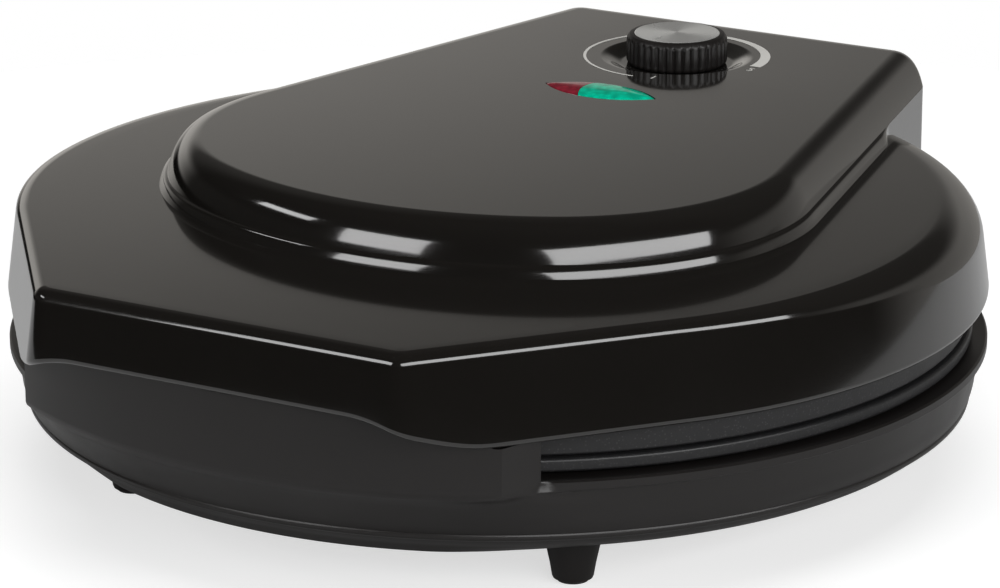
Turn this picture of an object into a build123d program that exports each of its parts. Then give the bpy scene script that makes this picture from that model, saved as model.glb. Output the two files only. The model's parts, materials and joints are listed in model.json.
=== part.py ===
from build123d import *
from math import acos, atan2, cos, degrees, hypot, radians, sin, sqrt
import os

os.makedirs("parts", exist_ok=True)

# Plan sizes, measured from the centre of the round plates; the rim of the base sets the others
rim_radius = 165.0
lid_overhang = 1.2
prow_projection = 12.3
hinge_behind_lid = 4.8
skirt_behind_hinge = 11.5
lid_radius = rim_radius + lid_overhang
front_reach = lid_radius + prow_projection
hinge_y = lid_radius + hinge_behind_lid
rear_reach = hinge_y + skirt_behind_hinge
disc_y = (front_reach - rear_reach) / 2

# Heights above the table, each stacked on the one below
bowl_bottom = 18.2
bowl_height = 27.8
parting_rise = 5.65
parting_gap = 0.3
lid_edge_rise = 9.35
lid_height = 32.0
cover_height = 16.5
knob_height = 8.5
rim_top = bowl_bottom + bowl_height
parting_height = rim_top + parting_rise
lid_edge = parting_height + lid_edge_rise
lid_top = lid_edge + lid_height
cover_top = lid_top + cover_height
knob_top = cover_top + knob_height

# Base bowl
rim_overhang = 2.0
rim_thickness = 3.5
bowl_draft_in = 1.7
bowl_corner = 16.0
shell_wall = 2.5
plate_ledge = 11.0
plate_opening_radius = rim_radius - plate_ledge

# Raised front wall of the base, an arc of its own that bulges past the round rim
bulge_projection = 15.0
bulge_radius = rim_radius + bulge_projection
bulge_centre = 6.0
bulge_root_angle = 34.6
bulge_taper = 5.2
bulge_half_width = rim_radius * sin(radians(bulge_root_angle)) - bulge_taper
bulge_back = 100.0
bulge_height = 22.0
bulge_foot_inset = 8.0
bulge_foot_taper = 10.5
bulge_foot_radius = rim_radius - bulge_foot_inset
bulge_foot_half_width = bulge_half_width - bulge_foot_taper
wall_height = 24.5
wall_step_height = 10.2
wall_middle_top = rim_top + wall_height
wall_side_top = wall_middle_top - wall_step_height
wall_step_end = 2.5
wall_step_run = 8.0
wall_step_outer = bulge_half_width - wall_step_end
wall_step_inner = wall_step_outer - wall_step_run

# Lid shell
prow_half_width = 68.5
lid_draft = 7.4
lid_wall = 2.6
prow_corner = 11.0
lid_top_round = 6.0
lid_edge_round = 2.0
scoop_height = 10.0
scoop_inner = 50.0
scoop_middle = 69.0
scoop_drop = 3.0
scoop_outer = 88.5
roof_opening_width = 60.0
roof_opening_length = 46.0

# Raised control cover
cover_inset = 65.8
cover_front = rim_radius - cover_inset
cover_nose_centre = 39.6
cover_nose_turn = 29.0
cover_nose_radius = cover_front + cover_nose_centre
cover_shoulder_step = 51.9
cover_shoulder_radius = cover_nose_radius - cover_shoulder_step
cover_converge = 12.2
cover_draft = 8.0
cover_wall = 2.5
cover_top_round = 10.0
cover_corner = 13.0
ledge_width = 2.8
ledge_height = 4.0
ledge_round = 2.2
ledge_end_inset = 11.0
skirt_overlap = 7.0
skirt_bottom = lid_edge - skirt_overlap
cover_boss_radius = 4.5
cover_boss_inset = 11.2
cover_boss_turn = 55.0
cover_boss_side_inset = 33.2
cover_boss_before_knob = 17.0

# Cooking plates
lower_rim_inset = 5.0
upper_rim_inset = 6.5
lower_rim_radius = rim_radius - lower_rim_inset
upper_rim_radius = rim_radius - upper_rim_inset
lower_rim_height = 4.5
upper_rim_height = 10.0
lower_dish_depth = 8.0
upper_dish_depth = 11.0
dish_border = 13.0
dish_radius = lower_rim_radius - dish_border
dish_slope = 3.5
plate_thickness = 3.2
plate_boss_radius = 6.0
plate_boss_height = 9.2

# Heating elements, their straps and their heat shields
element_inset = 65.0
element_radius = rim_radius - element_inset
element_tube = 3.3
element_gap = 0.1
element_open_angle = 14.0
element_tail = 8.5
pin_radius = 1.2
pin_length = 4.0
clip_angles = [45.0, 135.0, 225.0, 315.0]
clip_width = 8.0
clip_sheet = 1.0
clip_reach = 12.0
clip_bolt_offset = 8.5
clip_boss_radius = 3.2
clip_boss_height = 2.0
shield_margin = 10.0
shield_radius = element_radius + shield_margin
shield_sheet = 1.0
shield_lip = 6.0
shield_tail_hole = 6.0

# Plate fixings
fix_inset = 22.2
fix_offset = (element_radius - fix_inset) * cos(radians(45))
spacer_radius = 5.0
base_post_height = 4.5
base_post_radius = 6.5
countersunk_depth = 3.5

# Fasteners
big_shank = 2.0
big_head = 4.0
small_shank = 1.4
small_head = 2.8
head_height = 2.0
recess_width = 0.9
recess_depth = 1.0

# Clearances
running_gap = 0.05
snug_gap = 0.02
hole_gap = 0.3
seat_gap = 0.2

# Hinge
hinge_drop = 1.65
hinge_z = parting_height - hinge_drop
rod_radius = 2.5
rod_end = 5.0
knuckle_radius = 7.0
lug_inset = 55.2
lug_inner = cover_front - lug_inset
lug_width = 16.0
rod_half_length = lug_inner + lug_width + rod_end
lug_root_depth = 16.0
lug_root_drop = 6.0
ear_spacing = 16.0
ear_inner = lug_inner - ear_spacing
ear_width = 12.0
ear_root_depth = 8.0
ear_root_rise = 6.0
rod_clip_radius = 5.5
rod_clip_thickness = 1.2

# Feet
foot_inset_x = 81.0
foot_inset_y = 67.0
foot_x = rim_radius - foot_inset_x
foot_y = rim_radius - foot_inset_y
foot_top_radius = 10.2
foot_bottom_radius = 6.5
foot_clear = 0.8
pad_radius = 5.0
pad_thickness = 1.8
foot_round = 0.8

# Mains inlet in the rear of the bowl
inlet_drop = 12.0
inlet_height = rim_top - inlet_drop
inlet_radius = 5.5
inlet_bore = 3.5
inlet_flange_radius = 7.5
inlet_flange = 2.4
inlet_flange_round = 0.8
inlet_length = 9.0
clamp_inset = 19.0
clamp_y = rim_radius - clamp_inset
clamp_post_x = 12.0
clamp_post_radius = 4.5
clamp_drop = 1.0
clamp_length = 33.0
clamp_width = 9.0
clamp_height = 4.6
clamp_notch = 3.2
block_inset = 20.0
block_y = clamp_y - block_inset
block_post_x = 15.0
block_post_height = 3.0
block_length = 46.0
block_width = 17.0
block_height = 11.0
block_bay_width = 9.0
block_bay_x = 6.0

# Thermostat, its bracket and its spindle
knob_before_hinge = 44.0
knob_y = hinge_y - knob_before_hinge
bracket_length = 46.0
bracket_width = 26.0
bracket_sheet = 1.2
bracket_bolt_x = 18.0
thermostat_radius = 12.0
thermostat_height = 15.0
neck_radius = 4.5
neck_height = 9.0
spindle_radius = 3.0
spindle_flat = 2.2
spindle_tail = 4.0

# Control knob
knob_radius = 18.0
knob_gap = 0.3
knob_fin_count = 36
knob_fin_groove = 0.9
knob_fin_top = 1.6
knob_bore_drop = 3.5
cap_radius = 15.2
cap_thickness = 1.2
cap_proud = 0.3
pointer_angle = 188.0
pointer_inner = 9.0
pointer_length = 4.5
pointer_width = 1.4
dish_ring_radius = 27.5
dish_floor_radius = 20.0
dish_ring_depth = 2.4
dish_boss_radius = 31.0

# Indicator lens and its lamps
lens_before_knob = 56.5
lens_y = knob_y - lens_before_knob
lens_half_length = 22.0
lens_half_width = 9.5
lens_tip_round = 1.2
lens_gap = 0.2
lens_flange = 1.8
lens_flange_thickness = 1.3
lens_recess = 0.2
lens_split_radius = 14.0
lens_split_reach = 6.0
holder_length = 52.0
holder_width = 24.0
holder_wall = 2.0
holder_floor = 2.0
holder_depth = 12.5
holder_bolt_x = 34.0
holder_ear_width = 9.0
lamp_radius = 3.0
lamp_length = 15.0
lamp_x = 11.0

# Thermal fuse
fuse_x = -48.0
fuse_before_knob = 9.0
fuse_y = knob_y - fuse_before_knob
fuse_radius = 2.2
fuse_length = 14.0
fuse_clip_sheet = 0.8
fuse_clip_width = 8.0
fuse_clip_reach = 12.0

lower_face = parting_height - parting_gap / 2
upper_face = parting_height + parting_gap / 2
lower_back = lower_face - lower_dish_depth - plate_thickness
upper_back = upper_face + upper_dish_depth + plate_thickness
bowl_floor = bowl_bottom + shell_wall
clamp_post_height = inlet_height - clamp_drop - bowl_floor
holder_bottom = cover_top - holder_depth
knob_bore_top = knob_top - knob_bore_drop
lid_roof = lid_top - lid_wall
cover_roof = cover_top - cover_wall
cover_boss_front_x = (cover_front - cover_boss_inset) * cos(radians(cover_boss_turn))
cover_boss_front_y = (cover_front - cover_boss_inset) * sin(radians(cover_boss_turn))
cover_boss_rear_x = cover_front - cover_boss_side_inset
cover_boss_rear_y = knob_y - cover_boss_before_knob
cover_boss_places = [
    (-cover_boss_front_x, -cover_boss_front_y),
    (cover_boss_front_x, -cover_boss_front_y),
    (-cover_boss_rear_x, cover_boss_rear_y),
    (cover_boss_rear_x, cover_boss_rear_y),
]
fix_places = [(x, y) for x in (-fix_offset, fix_offset) for y in (-fix_offset, fix_offset)]
foot_places = [(x, y) for x in (-foot_x, foot_x) for y in (-foot_y, foot_y)]


def level(height):
    """Horizontal plane at a height, centred on the round plates."""
    return Plane(origin=(0, disc_y, height))


def inlet_plane(reach):
    """Upright plane across the mains inlet, facing the rear, at a distance from the plates' centre."""
    return Plane(origin=(0, disc_y + reach, inlet_height), x_dir=(1, 0, 0), z_dir=(0, 1, 0))


def radial_plane(turn):
    """Upright plane through the plates' axis: x runs outwards, y runs up."""
    angle = radians(turn)
    outwards = (cos(angle), sin(angle), 0)
    return Plane(origin=(0, disc_y, 0), x_dir=outwards, z_dir=(sin(angle), -cos(angle), 0))


front_view = radial_plane(0)
side_view = Plane(origin=(0, disc_y, 0), x_dir=(0, 1, 0), z_dir=(1, 0, 0))
spin_axis = Axis((0, disc_y, 0), (0, 0, 1))


def side_plane(x):
    """Upright plane across the object at a distance from its middle: x runs back, y runs up."""
    return Plane(origin=(x, disc_y, 0), x_dir=(0, 1, 0), z_dir=(1, 0, 0))


def draw_outline(*points):
    """Filled straight-sided outline."""
    with BuildLine() as outline:
        Polyline(*points, close=True)
    make_face(outline.edges())


def draw_prow(radius, half_width, reach):
    """Circle with a flat facet in front, joined to it by tangent sides."""
    turn = atan2(half_width, reach) + acos(radius / hypot(half_width, reach))
    touch_x = radius * sin(turn)
    touch_y = -radius * cos(turn)
    with BuildLine() as outline:
        ThreePointArc((touch_x, touch_y), (0, radius), (-touch_x, touch_y))
        Polyline((-touch_x, touch_y), (-half_width, -reach), (half_width, -reach), (touch_x, touch_y))
    make_face(outline.edges())


def draw_cover(inset):
    """Plan of the control cover, moved inwards by a distance: a wide round nose in front, tighter
    shoulders, and straight sides that close in to a flat rear."""
    front = cover_front - inset
    reach = rear_reach - inset
    nose_radius = cover_nose_radius - inset
    shoulder_radius = cover_shoulder_radius - inset
    lean = radians(cover_converge)
    turn = radians(cover_nose_turn)
    nose_y = nose_radius - front
    shoulder = Vector(cover_shoulder_step * sin(turn), nose_y - cover_shoulder_step * cos(turn))
    join = Vector(nose_radius * sin(turn), nose_y - nose_radius * cos(turn))
    touch = shoulder + shoulder_radius * Vector(cos(lean), sin(lean))
    halfway = (turn + lean) / 2 - radians(45)
    middle = shoulder + shoulder_radius * Vector(cos(halfway), sin(halfway))
    corner_x = touch.X - (reach - touch.Y) * sin(lean) / cos(lean)
    with BuildLine() as outline:
        ThreePointArc((-join.X, join.Y), (0, -front), (join.X, join.Y))
        ThreePointArc((join.X, join.Y), (middle.X, middle.Y), (touch.X, touch.Y))
        Polyline((touch.X, touch.Y), (corner_x, reach), (-corner_x, reach), (-touch.X, touch.Y))
        ThreePointArc((-touch.X, touch.Y), (-middle.X, middle.Y), (-join.X, join.Y))
    make_face(outline.edges())


def draw_bulge(arc_radius, arc_centre, half_width, root_radius):
    """Front of the base seen from above: a wide arc whose short ends turn back to the round rim."""
    corner_y = arc_centre - sqrt(arc_radius**2 - half_width**2)
    root_x = root_radius * sin(radians(bulge_root_angle))
    root_y = -root_radius * cos(radians(bulge_root_angle))
    with BuildLine() as outline:
        ThreePointArc((-half_width, corner_y), (0, arc_centre - arc_radius), (half_width, corner_y))
        Polyline(
            (half_width, corner_y),
            (root_x, root_y),
            (root_x, -bulge_back),
            (-root_x, -bulge_back),
            (-root_x, root_y),
            (-half_width, corner_y),
        )
    make_face(outline.edges())


def eye_shape(half_length, half_width):
    """Eye shape with slightly rounded tips: where two equal circles overlap."""
    radius = (half_length**2 + half_width**2) / (2 * half_width)
    with BuildSketch(Plane.XY) as eye:
        for side in (-1, 1):
            with Locations((0, side * (radius - half_width))):
                Circle(radius, mode=Mode.ADD if side < 0 else Mode.INTERSECT)
        fillet(eye.vertices(), lens_tip_round)
    return eye.sketch


def screw_group(places, seat, tip, shank, head):
    """Cross-head screws: each head stands on its seat and its shank runs to the tip."""
    away = 1 if seat > tip else -1
    crown = seat + away * head_height
    with BuildPart() as group:
        with BuildSketch(level(tip)):
            with Locations(*places):
                Circle(shank)
        extrude(amount=seat - tip)
        with BuildSketch(level(seat)):
            with Locations(*places):
                Circle(head)
        extrude(amount=away * head_height)
        with BuildSketch(level(crown)):
            with Locations(*places):
                Rectangle(head, recess_width)
                Rectangle(recess_width, head)
        extrude(amount=-away * recess_depth, mode=Mode.SUBTRACT)
    return group


def cooking_plate(face, depth, away, rim_radius, rim_height):
    """Cast plate: a shallow round dish with a rim, and bosses on its back."""
    back = face + away * (depth + plate_thickness)
    boss_end = back + away * plate_boss_height
    with BuildPart() as plate:
        with BuildSketch(front_view):
            draw_outline(
                (0, face + away * depth),
                (dish_radius, face + away * depth),
                (dish_radius + dish_slope, face),
                (rim_radius, face),
                (rim_radius, face + away * rim_height),
                (dish_radius + dish_slope + shell_wall, face + away * rim_height),
                (dish_radius + shell_wall, back),
                (0, back),
            )
        revolve(axis=spin_axis)
        with BuildSketch(level(back)):
            with Locations(*fix_places):
                Circle(plate_boss_radius)
        extrude(amount=away * plate_boss_height)
        with BuildSketch(level(back)):
            with Locations(*clip_bolt_places()):
                Circle(clip_boss_radius)
        extrude(amount=away * clip_boss_height)
        with BuildSketch(level(boss_end)):
            with Locations(*fix_places):
                Circle(big_shank + snug_gap)
        extrude(amount=-away * plate_boss_height, mode=Mode.SUBTRACT)
        with BuildSketch(level(back + away * clip_boss_height)):
            with Locations(*clip_bolt_places()):
                Circle(small_shank + snug_gap)
        extrude(amount=-away * (clip_boss_height + plate_thickness / 2), mode=Mode.SUBTRACT)
    return plate


def clip_bolt_places():
    """Two screw places beside each strap, one inside the element ring and one outside."""
    places = []
    for turn in clip_angles:
        for reach in (element_radius - clip_bolt_offset, element_radius + clip_bolt_offset):
            places.append((reach * cos(radians(turn)), reach * sin(radians(turn))))
    return places


def tail_places():
    """Where the element's two ends turn away from its plate, either side of the rear."""
    angle = radians(element_open_angle)
    return [(side * element_radius * sin(angle), element_radius * cos(angle)) for side in (-1, 1)]


def heating_element(back, away):
    """Sheathed tube bent to an open ring, with both ends turned away from the plate."""
    centre = back + away * (element_tube + element_gap)
    with BuildPart() as element:
        with BuildSketch(radial_plane(90 + element_open_angle)):
            with Locations((element_radius, centre)):
                Circle(element_tube)
        revolve(axis=spin_axis, revolution_arc=360 - 2 * element_open_angle)
        with Locations(*[(x, y + disc_y, centre) for x, y in tail_places()]):
            Sphere(element_tube)
        with BuildSketch(level(centre)):
            with Locations(*tail_places()):
                Circle(element_tube)
        extrude(amount=away * element_tail)
        with BuildSketch(level(centre + away * element_tail)):
            with Locations(*tail_places()):
                Circle(pin_radius)
        extrude(amount=away * pin_length)
    return element


def element_clips(back, away):
    """Sheet straps that hold the element against the plate."""
    centre = back + away * (element_tube + element_gap)
    foot = back + away * (clip_boss_height + clip_sheet / 2)
    with BuildPart() as clips:
        for turn in clip_angles:
            with BuildSketch(radial_plane(turn)):
                with Locations((element_radius, foot)):
                    Rectangle(2 * clip_reach, clip_sheet)
                with Locations((element_radius, centre)):
                    Circle(element_tube + hole_gap + clip_sheet)
                with Locations((element_radius, foot - away * (clip_reach + clip_sheet / 2))):
                    Rectangle(2 * clip_reach, 2 * clip_reach, mode=Mode.SUBTRACT)
                with Locations((element_radius, centre)):
                    Circle(element_tube + hole_gap, mode=Mode.SUBTRACT)
                with Locations((element_radius, foot)):
                    Rectangle(2 * (element_tube + hole_gap), clip_sheet, mode=Mode.SUBTRACT)
            extrude(amount=clip_width / 2, both=True)
        with BuildSketch(level(back)):
            with Locations(*clip_bolt_places()):
                Circle(small_shank + hole_gap)
        extrude(amount=away * clip_reach, mode=Mode.SUBTRACT)
    return clips


def heat_shield(back, away):
    """Sheet dish behind the element, clamped between the plate's bosses and the spacers."""
    seat = back + away * plate_boss_height
    outer = seat + away * shield_sheet
    with BuildPart() as shield:
        with BuildSketch(level(seat)):
            Circle(shield_radius)
        extrude(amount=away * shield_sheet)
        with BuildSketch(level(outer)):
            Circle(shield_radius)
            Circle(shield_radius - shield_sheet, mode=Mode.SUBTRACT)
        extrude(amount=-away * (shield_lip + shield_sheet))
        with BuildSketch(level(seat)):
            with Locations(*fix_places):
                Circle(big_shank + hole_gap)
            with Locations(*tail_places()):
                Circle(shield_tail_hole)
        extrude(amount=away * shield_sheet, mode=Mode.SUBTRACT)
        with BuildSketch(level(outer)):
            with Locations(*clip_bolt_places()[1::2]):
                Circle(small_head + hole_gap)
        extrude(amount=-away * (shield_lip + shield_sheet), mode=Mode.SUBTRACT)
    return shield


def spacer_tubes(start, end):
    """Steel tubes that keep a plate at its distance from its shell."""
    with BuildPart() as tubes:
        with BuildSketch(level(start)):
            with Locations(*fix_places):
                Circle(spacer_radius)
                Circle(big_shank + hole_gap, mode=Mode.SUBTRACT)
        extrude(amount=end - start)
    return tubes


def hinge_plate(inner, width, bore, *root):
    """Pair of hinge plates: a round eye on the hinge line joined to its root, one on each side."""
    with BuildPart() as pair:
        for start in (inner, -inner - width):
            with BuildSketch(side_plane(start)):
                draw_outline(*root)
                with Locations((hinge_y, hinge_z)):
                    Circle(knuckle_radius)
                make_hull()
            extrude(amount=width)
        with BuildSketch(side_plane(0)):
            with Locations((hinge_y, hinge_z)):
                Circle(bore)
        extrude(amount=inner + 2 * width, both=True, mode=Mode.SUBTRACT)
    return pair


bowl_side = rim_radius - rim_overhang
rim_underside = rim_top - rim_thickness

base_lugs = hinge_plate(
    lug_inner,
    lug_width,
    rod_radius + snug_gap,
    (rim_radius - lug_root_depth, rim_underside - lug_root_drop),
    (rim_radius - lug_root_depth / 2, rim_underside - lug_root_drop),
    (rim_radius - lug_root_depth, rim_underside - shell_wall / 2),
)

with BuildPart() as base_shell:
    # Bowl with its overhanging rim
    with BuildSketch(front_view) as bowl_section:
        draw_outline(
            (0, bowl_bottom),
            (bowl_side - bowl_draft_in, bowl_bottom),
            (bowl_side, rim_underside),
            (rim_radius, rim_underside),
            (rim_radius, rim_top),
            (0, rim_top),
        )
        fillet(bowl_section.vertices().group_by(Axis.Y)[0].sort_by(Axis.X)[-1], bowl_corner)
    revolve(axis=spin_axis)
    # Front bulge, which runs out into the round bowl below
    with BuildSketch(level(rim_top - bulge_height)):
        draw_bulge(bulge_foot_radius, 0, bulge_foot_half_width, bulge_foot_radius - shell_wall)
    with BuildSketch(level(rim_top)):
        draw_bulge(bulge_radius, bulge_centre, bulge_half_width, rim_radius)
    loft()
    # Raised front wall
    with BuildSketch(level(rim_top)):
        draw_bulge(bulge_radius, bulge_centre, bulge_half_width, rim_radius)
        with Locations((0, -bulge_back)):
            Rectangle(2 * rim_radius, 2 * (rim_radius * cos(radians(bulge_root_angle)) - bulge_back),
                      mode=Mode.SUBTRACT)
    extrude(amount=wall_middle_top - rim_top)
    with BuildSketch(level(rim_top)):
        draw_bulge(
            bulge_radius - shell_wall,
            bulge_centre,
            bulge_half_width - shell_wall,
            rim_radius - shell_wall,
        )
    extrude(amount=wall_middle_top - rim_top, mode=Mode.SUBTRACT)
    for side in (-1, 1):
        with BuildSketch(front_view):
            draw_outline(
                (side * wall_step_inner, wall_middle_top),
                (side * wall_step_outer, wall_side_top),
                (side * rim_radius, wall_side_top),
                (side * rim_radius, wall_middle_top),
            )
        extrude(amount=front_reach, both=True, mode=Mode.SUBTRACT)
    # Hollow of the bowl and of the bulge
    with BuildSketch(front_view) as hollow_section:
        draw_outline(
            (0, bowl_floor),
            (bowl_side - bowl_draft_in - shell_wall, bowl_floor),
            (bowl_side - shell_wall, rim_top - shell_wall),
            (0, rim_top - shell_wall),
        )
        fillet(hollow_section.vertices().group_by(Axis.Y)[0].sort_by(Axis.X)[-1], bowl_corner - shell_wall)
    revolve(axis=spin_axis, mode=Mode.SUBTRACT)
    with BuildSketch(level(rim_top - bulge_height)):
        draw_bulge(
            bulge_foot_radius - shell_wall,
            0,
            bulge_foot_half_width - shell_wall,
            bulge_foot_radius - 2 * shell_wall,
        )
    with BuildSketch(level(rim_top - shell_wall)):
        draw_bulge(
            bulge_radius - 2 * shell_wall,
            bulge_centre,
            bulge_half_width - 2 * shell_wall,
            rim_radius - 2 * shell_wall,
        )
    loft(mode=Mode.SUBTRACT)
    with BuildSketch(level(rim_top - shell_wall)):
        Circle(plate_opening_radius)
    extrude(amount=shell_wall, mode=Mode.SUBTRACT)
    # Hinge lugs
    add(base_lugs.part)
    # Posts on the floor
    with BuildSketch(level(bowl_floor)):
        with Locations(*fix_places):
            Circle(base_post_radius)
    extrude(amount=base_post_height)
    with BuildSketch(level(bowl_floor)):
        with Locations((-clamp_post_x, clamp_y), (clamp_post_x, clamp_y)):
            Circle(clamp_post_radius)
    extrude(amount=clamp_post_height)
    with BuildSketch(level(bowl_floor)):
        with Locations((-block_post_x, block_y), (block_post_x, block_y)):
            Circle(clamp_post_radius)
    extrude(amount=block_post_height)
    # Screw holes
    with BuildSketch(level(bowl_bottom)):
        with Locations(*fix_places):
            Circle(big_shank + hole_gap)
    extrude(amount=shell_wall + base_post_height, mode=Mode.SUBTRACT)
    with BuildSketch(level(bowl_bottom)):
        with Locations(*fix_places):
            Circle(big_head + hole_gap)
    extrude(amount=countersunk_depth, mode=Mode.SUBTRACT)
    with BuildSketch(level(bowl_bottom)):
        with Locations(*foot_places):
            Circle(small_shank + hole_gap)
    extrude(amount=shell_wall, mode=Mode.SUBTRACT)
    with BuildSketch(level(bowl_floor)):
        with Locations(
            (-clamp_post_x, clamp_y),
            (clamp_post_x, clamp_y),
            (-block_post_x, block_y),
            (block_post_x, block_y),
        ):
            Circle(small_shank + snug_gap)
    extrude(amount=clamp_post_height, mode=Mode.SUBTRACT)
    # Mains inlet
    with BuildSketch(inlet_plane(0)):
        Circle(inlet_radius + running_gap)
    extrude(amount=rim_radius, mode=Mode.SUBTRACT)
base_shell.part.label = "base_shell"
export_step(base_shell.part, "parts/base_shell.step")

# Feet: tapered legs, each with a screw from inside the bowl and a rubber pad
foot_names = {
    "foot_front_left": (-foot_x, -foot_y),
    "foot_front_right": (foot_x, -foot_y),
    "foot_rear_left": (-foot_x, foot_y),
    "foot_rear_right": (foot_x, foot_y),
}
foot_lean = degrees(atan2(foot_top_radius - foot_bottom_radius, bowl_bottom - foot_clear))
for name, place in foot_names.items():
    with BuildPart() as foot:
        with BuildSketch(level(bowl_bottom)):
            with Locations(place):
                Circle(foot_top_radius)
        extrude(amount=foot_clear - bowl_bottom, taper=foot_lean)
        fillet(foot.edges().group_by(Axis.Z)[0], foot_round)
        with BuildSketch(level(foot_clear)):
            with Locations(place):
                Circle(pad_radius + running_gap)
        extrude(amount=pad_thickness - foot_clear, mode=Mode.SUBTRACT)
        with BuildSketch(level(bowl_bottom)):
            with Locations(place):
                Circle(small_shank + snug_gap)
        extrude(amount=pad_thickness + foot_clear - bowl_bottom, mode=Mode.SUBTRACT)
    foot.part.label = name
    export_step(foot.part, f"parts/{name}.step")

with BuildPart() as foot_pads:
    with BuildSketch(level(0)):
        with Locations(*foot_places):
            Circle(pad_radius)
    extrude(amount=pad_thickness)
foot_pads.part.label = "foot_pads"
export_step(foot_pads.part, "parts/foot_pads.step")

foot_screws = screw_group(foot_places, bowl_floor, pad_thickness + 2 * foot_clear, small_shank, small_head)
foot_screws.part.label = "foot_screws"
export_step(foot_screws.part, "parts/foot_screws.step")

# Lower plate group
lower_plate = cooking_plate(lower_face, lower_dish_depth, -1, lower_rim_radius, lower_rim_height)
lower_plate.part.label = "lower_plate"
export_step(lower_plate.part, "parts/lower_plate.step")

lower_element = heating_element(lower_back, -1)
lower_element.part.label = "lower_element"
export_step(lower_element.part, "parts/lower_element.step")

lower_element_clips = element_clips(lower_back, -1)
lower_element_clips.part.label = "lower_element_clips"
export_step(lower_element_clips.part, "parts/lower_element_clips.step")

lower_clip_screws = screw_group(
    clip_bolt_places(),
    lower_back - clip_boss_height - clip_sheet,
    lower_back + plate_thickness / 3,
    small_shank,
    small_head,
)
lower_clip_screws.part.label = "lower_clip_screws"
export_step(lower_clip_screws.part, "parts/lower_clip_screws.step")

lower_reflector = heat_shield(lower_back, -1)
lower_reflector.part.label = "lower_reflector"
export_step(lower_reflector.part, "parts/lower_reflector.step")

lower_spacers = spacer_tubes(bowl_floor + base_post_height, lower_back - plate_boss_height - shield_sheet)
lower_spacers.part.label = "lower_spacers"
export_step(lower_spacers.part, "parts/lower_spacers.step")

lower_plate_screws = screw_group(
    fix_places,
    bowl_bottom + countersunk_depth,
    lower_back - plate_thickness / 2,
    big_shank,
    big_head,
)
lower_plate_screws.part.label = "lower_plate_screws"
export_step(lower_plate_screws.part, "parts/lower_plate_screws.step")

# Hinge rod and its push-on clips
with BuildPart() as hinge_rod:
    with BuildSketch(side_plane(0)):
        with Locations((hinge_y, hinge_z)):
            Circle(rod_radius)
    extrude(amount=rod_half_length, both=True)
hinge_rod.part.label = "hinge_rod"
export_step(hinge_rod.part, "parts/hinge_rod.step")

with BuildPart() as hinge_rod_clips:
    for side in (-1, 1):
        with BuildSketch(side_plane(side * (lug_inner + lug_width + seat_gap))):
            with Locations((hinge_y, hinge_z)):
                Circle(rod_clip_radius)
                Circle(rod_radius + snug_gap, mode=Mode.SUBTRACT)
        extrude(amount=side * rod_clip_thickness)
hinge_rod_clips.part.label = "hinge_rod_clips"
export_step(hinge_rod_clips.part, "parts/hinge_rod_clips.step")

# Mains inlet, its clamp and the terminal block
bush_face = inlet_plane(bowl_side + running_gap)
with BuildPart() as cord_bush:
    with BuildSketch(bush_face):
        Circle(inlet_flange_radius)
    extrude(amount=inlet_flange)
    with BuildSketch(bush_face):
        Circle(inlet_radius)
    extrude(amount=-inlet_length)
    fillet(cord_bush.edges().group_by(Axis.Y)[-1], inlet_flange_round)
    with BuildSketch(inlet_plane(bowl_side - inlet_length)):
        Circle(inlet_bore)
    extrude(amount=inlet_length + 2 * inlet_flange, mode=Mode.SUBTRACT)
cord_bush.part.label = "cord_bush"
export_step(cord_bush.part, "parts/cord_bush.step")

clamp_bottom = bowl_floor + clamp_post_height
with BuildPart() as cord_clamp:
    with BuildSketch(level(clamp_bottom)):
        with Locations((0, clamp_y)):
            Rectangle(clamp_length, clamp_width)
    extrude(amount=clamp_height)
    with BuildSketch(front_view):
        with Locations((0, clamp_bottom)):
            Circle(clamp_notch)
    extrude(amount=-rim_radius, mode=Mode.SUBTRACT)
    with BuildSketch(level(clamp_bottom)):
        with Locations((-clamp_post_x, clamp_y), (clamp_post_x, clamp_y)):
            Circle(small_shank + hole_gap)
    extrude(amount=clamp_height, mode=Mode.SUBTRACT)
cord_clamp.part.label = "cord_clamp"
export_step(cord_clamp.part, "parts/cord_clamp.step")

cord_clamp_screws = screw_group(
    [(-clamp_post_x, clamp_y), (clamp_post_x, clamp_y)],
    clamp_bottom + clamp_height,
    bowl_floor + snug_gap,
    small_shank,
    small_head,
)
cord_clamp_screws.part.label = "cord_clamp_screws"
export_step(cord_clamp_screws.part, "parts/cord_clamp_screws.step")

block_bottom = bowl_floor + block_post_height
with BuildPart() as terminal_block:
    with BuildSketch(level(block_bottom)):
        with Locations((0, block_y)):
            Rectangle(block_length, block_width)
    extrude(amount=block_height)
    with BuildSketch(level(block_bottom + block_height)):
        with Locations((-block_bay_x, block_y), (block_bay_x, block_y)):
            Rectangle(block_bay_width, block_width - 2 * shell_wall)
    extrude(amount=-block_height / 2, mode=Mode.SUBTRACT)
    with BuildSketch(level(block_bottom)):
        with Locations((-block_post_x, block_y), (block_post_x, block_y)):
            Circle(small_shank + hole_gap)
    extrude(amount=block_height, mode=Mode.SUBTRACT)
terminal_block.part.label = "terminal_block"
export_step(terminal_block.part, "parts/terminal_block.step")

terminal_block_screws = screw_group(
    [(-block_post_x, block_y), (block_post_x, block_y)],
    block_bottom + block_height,
    bowl_floor + snug_gap,
    small_shank,
    small_head,
)
terminal_block_screws.part.label = "terminal_block_screws"
export_step(terminal_block_screws.part, "parts/terminal_block_screws.step")

lid_ears = hinge_plate(
    ear_inner,
    ear_width,
    rod_radius + running_gap,
    (lid_radius - ear_root_depth, lid_edge + ear_root_rise),
    (lid_radius, lid_edge + ear_root_rise),
    (lid_radius - lid_wall, lid_roof - ear_root_rise),
    (lid_radius - ear_root_depth, lid_roof - ear_root_rise),
)

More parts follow.
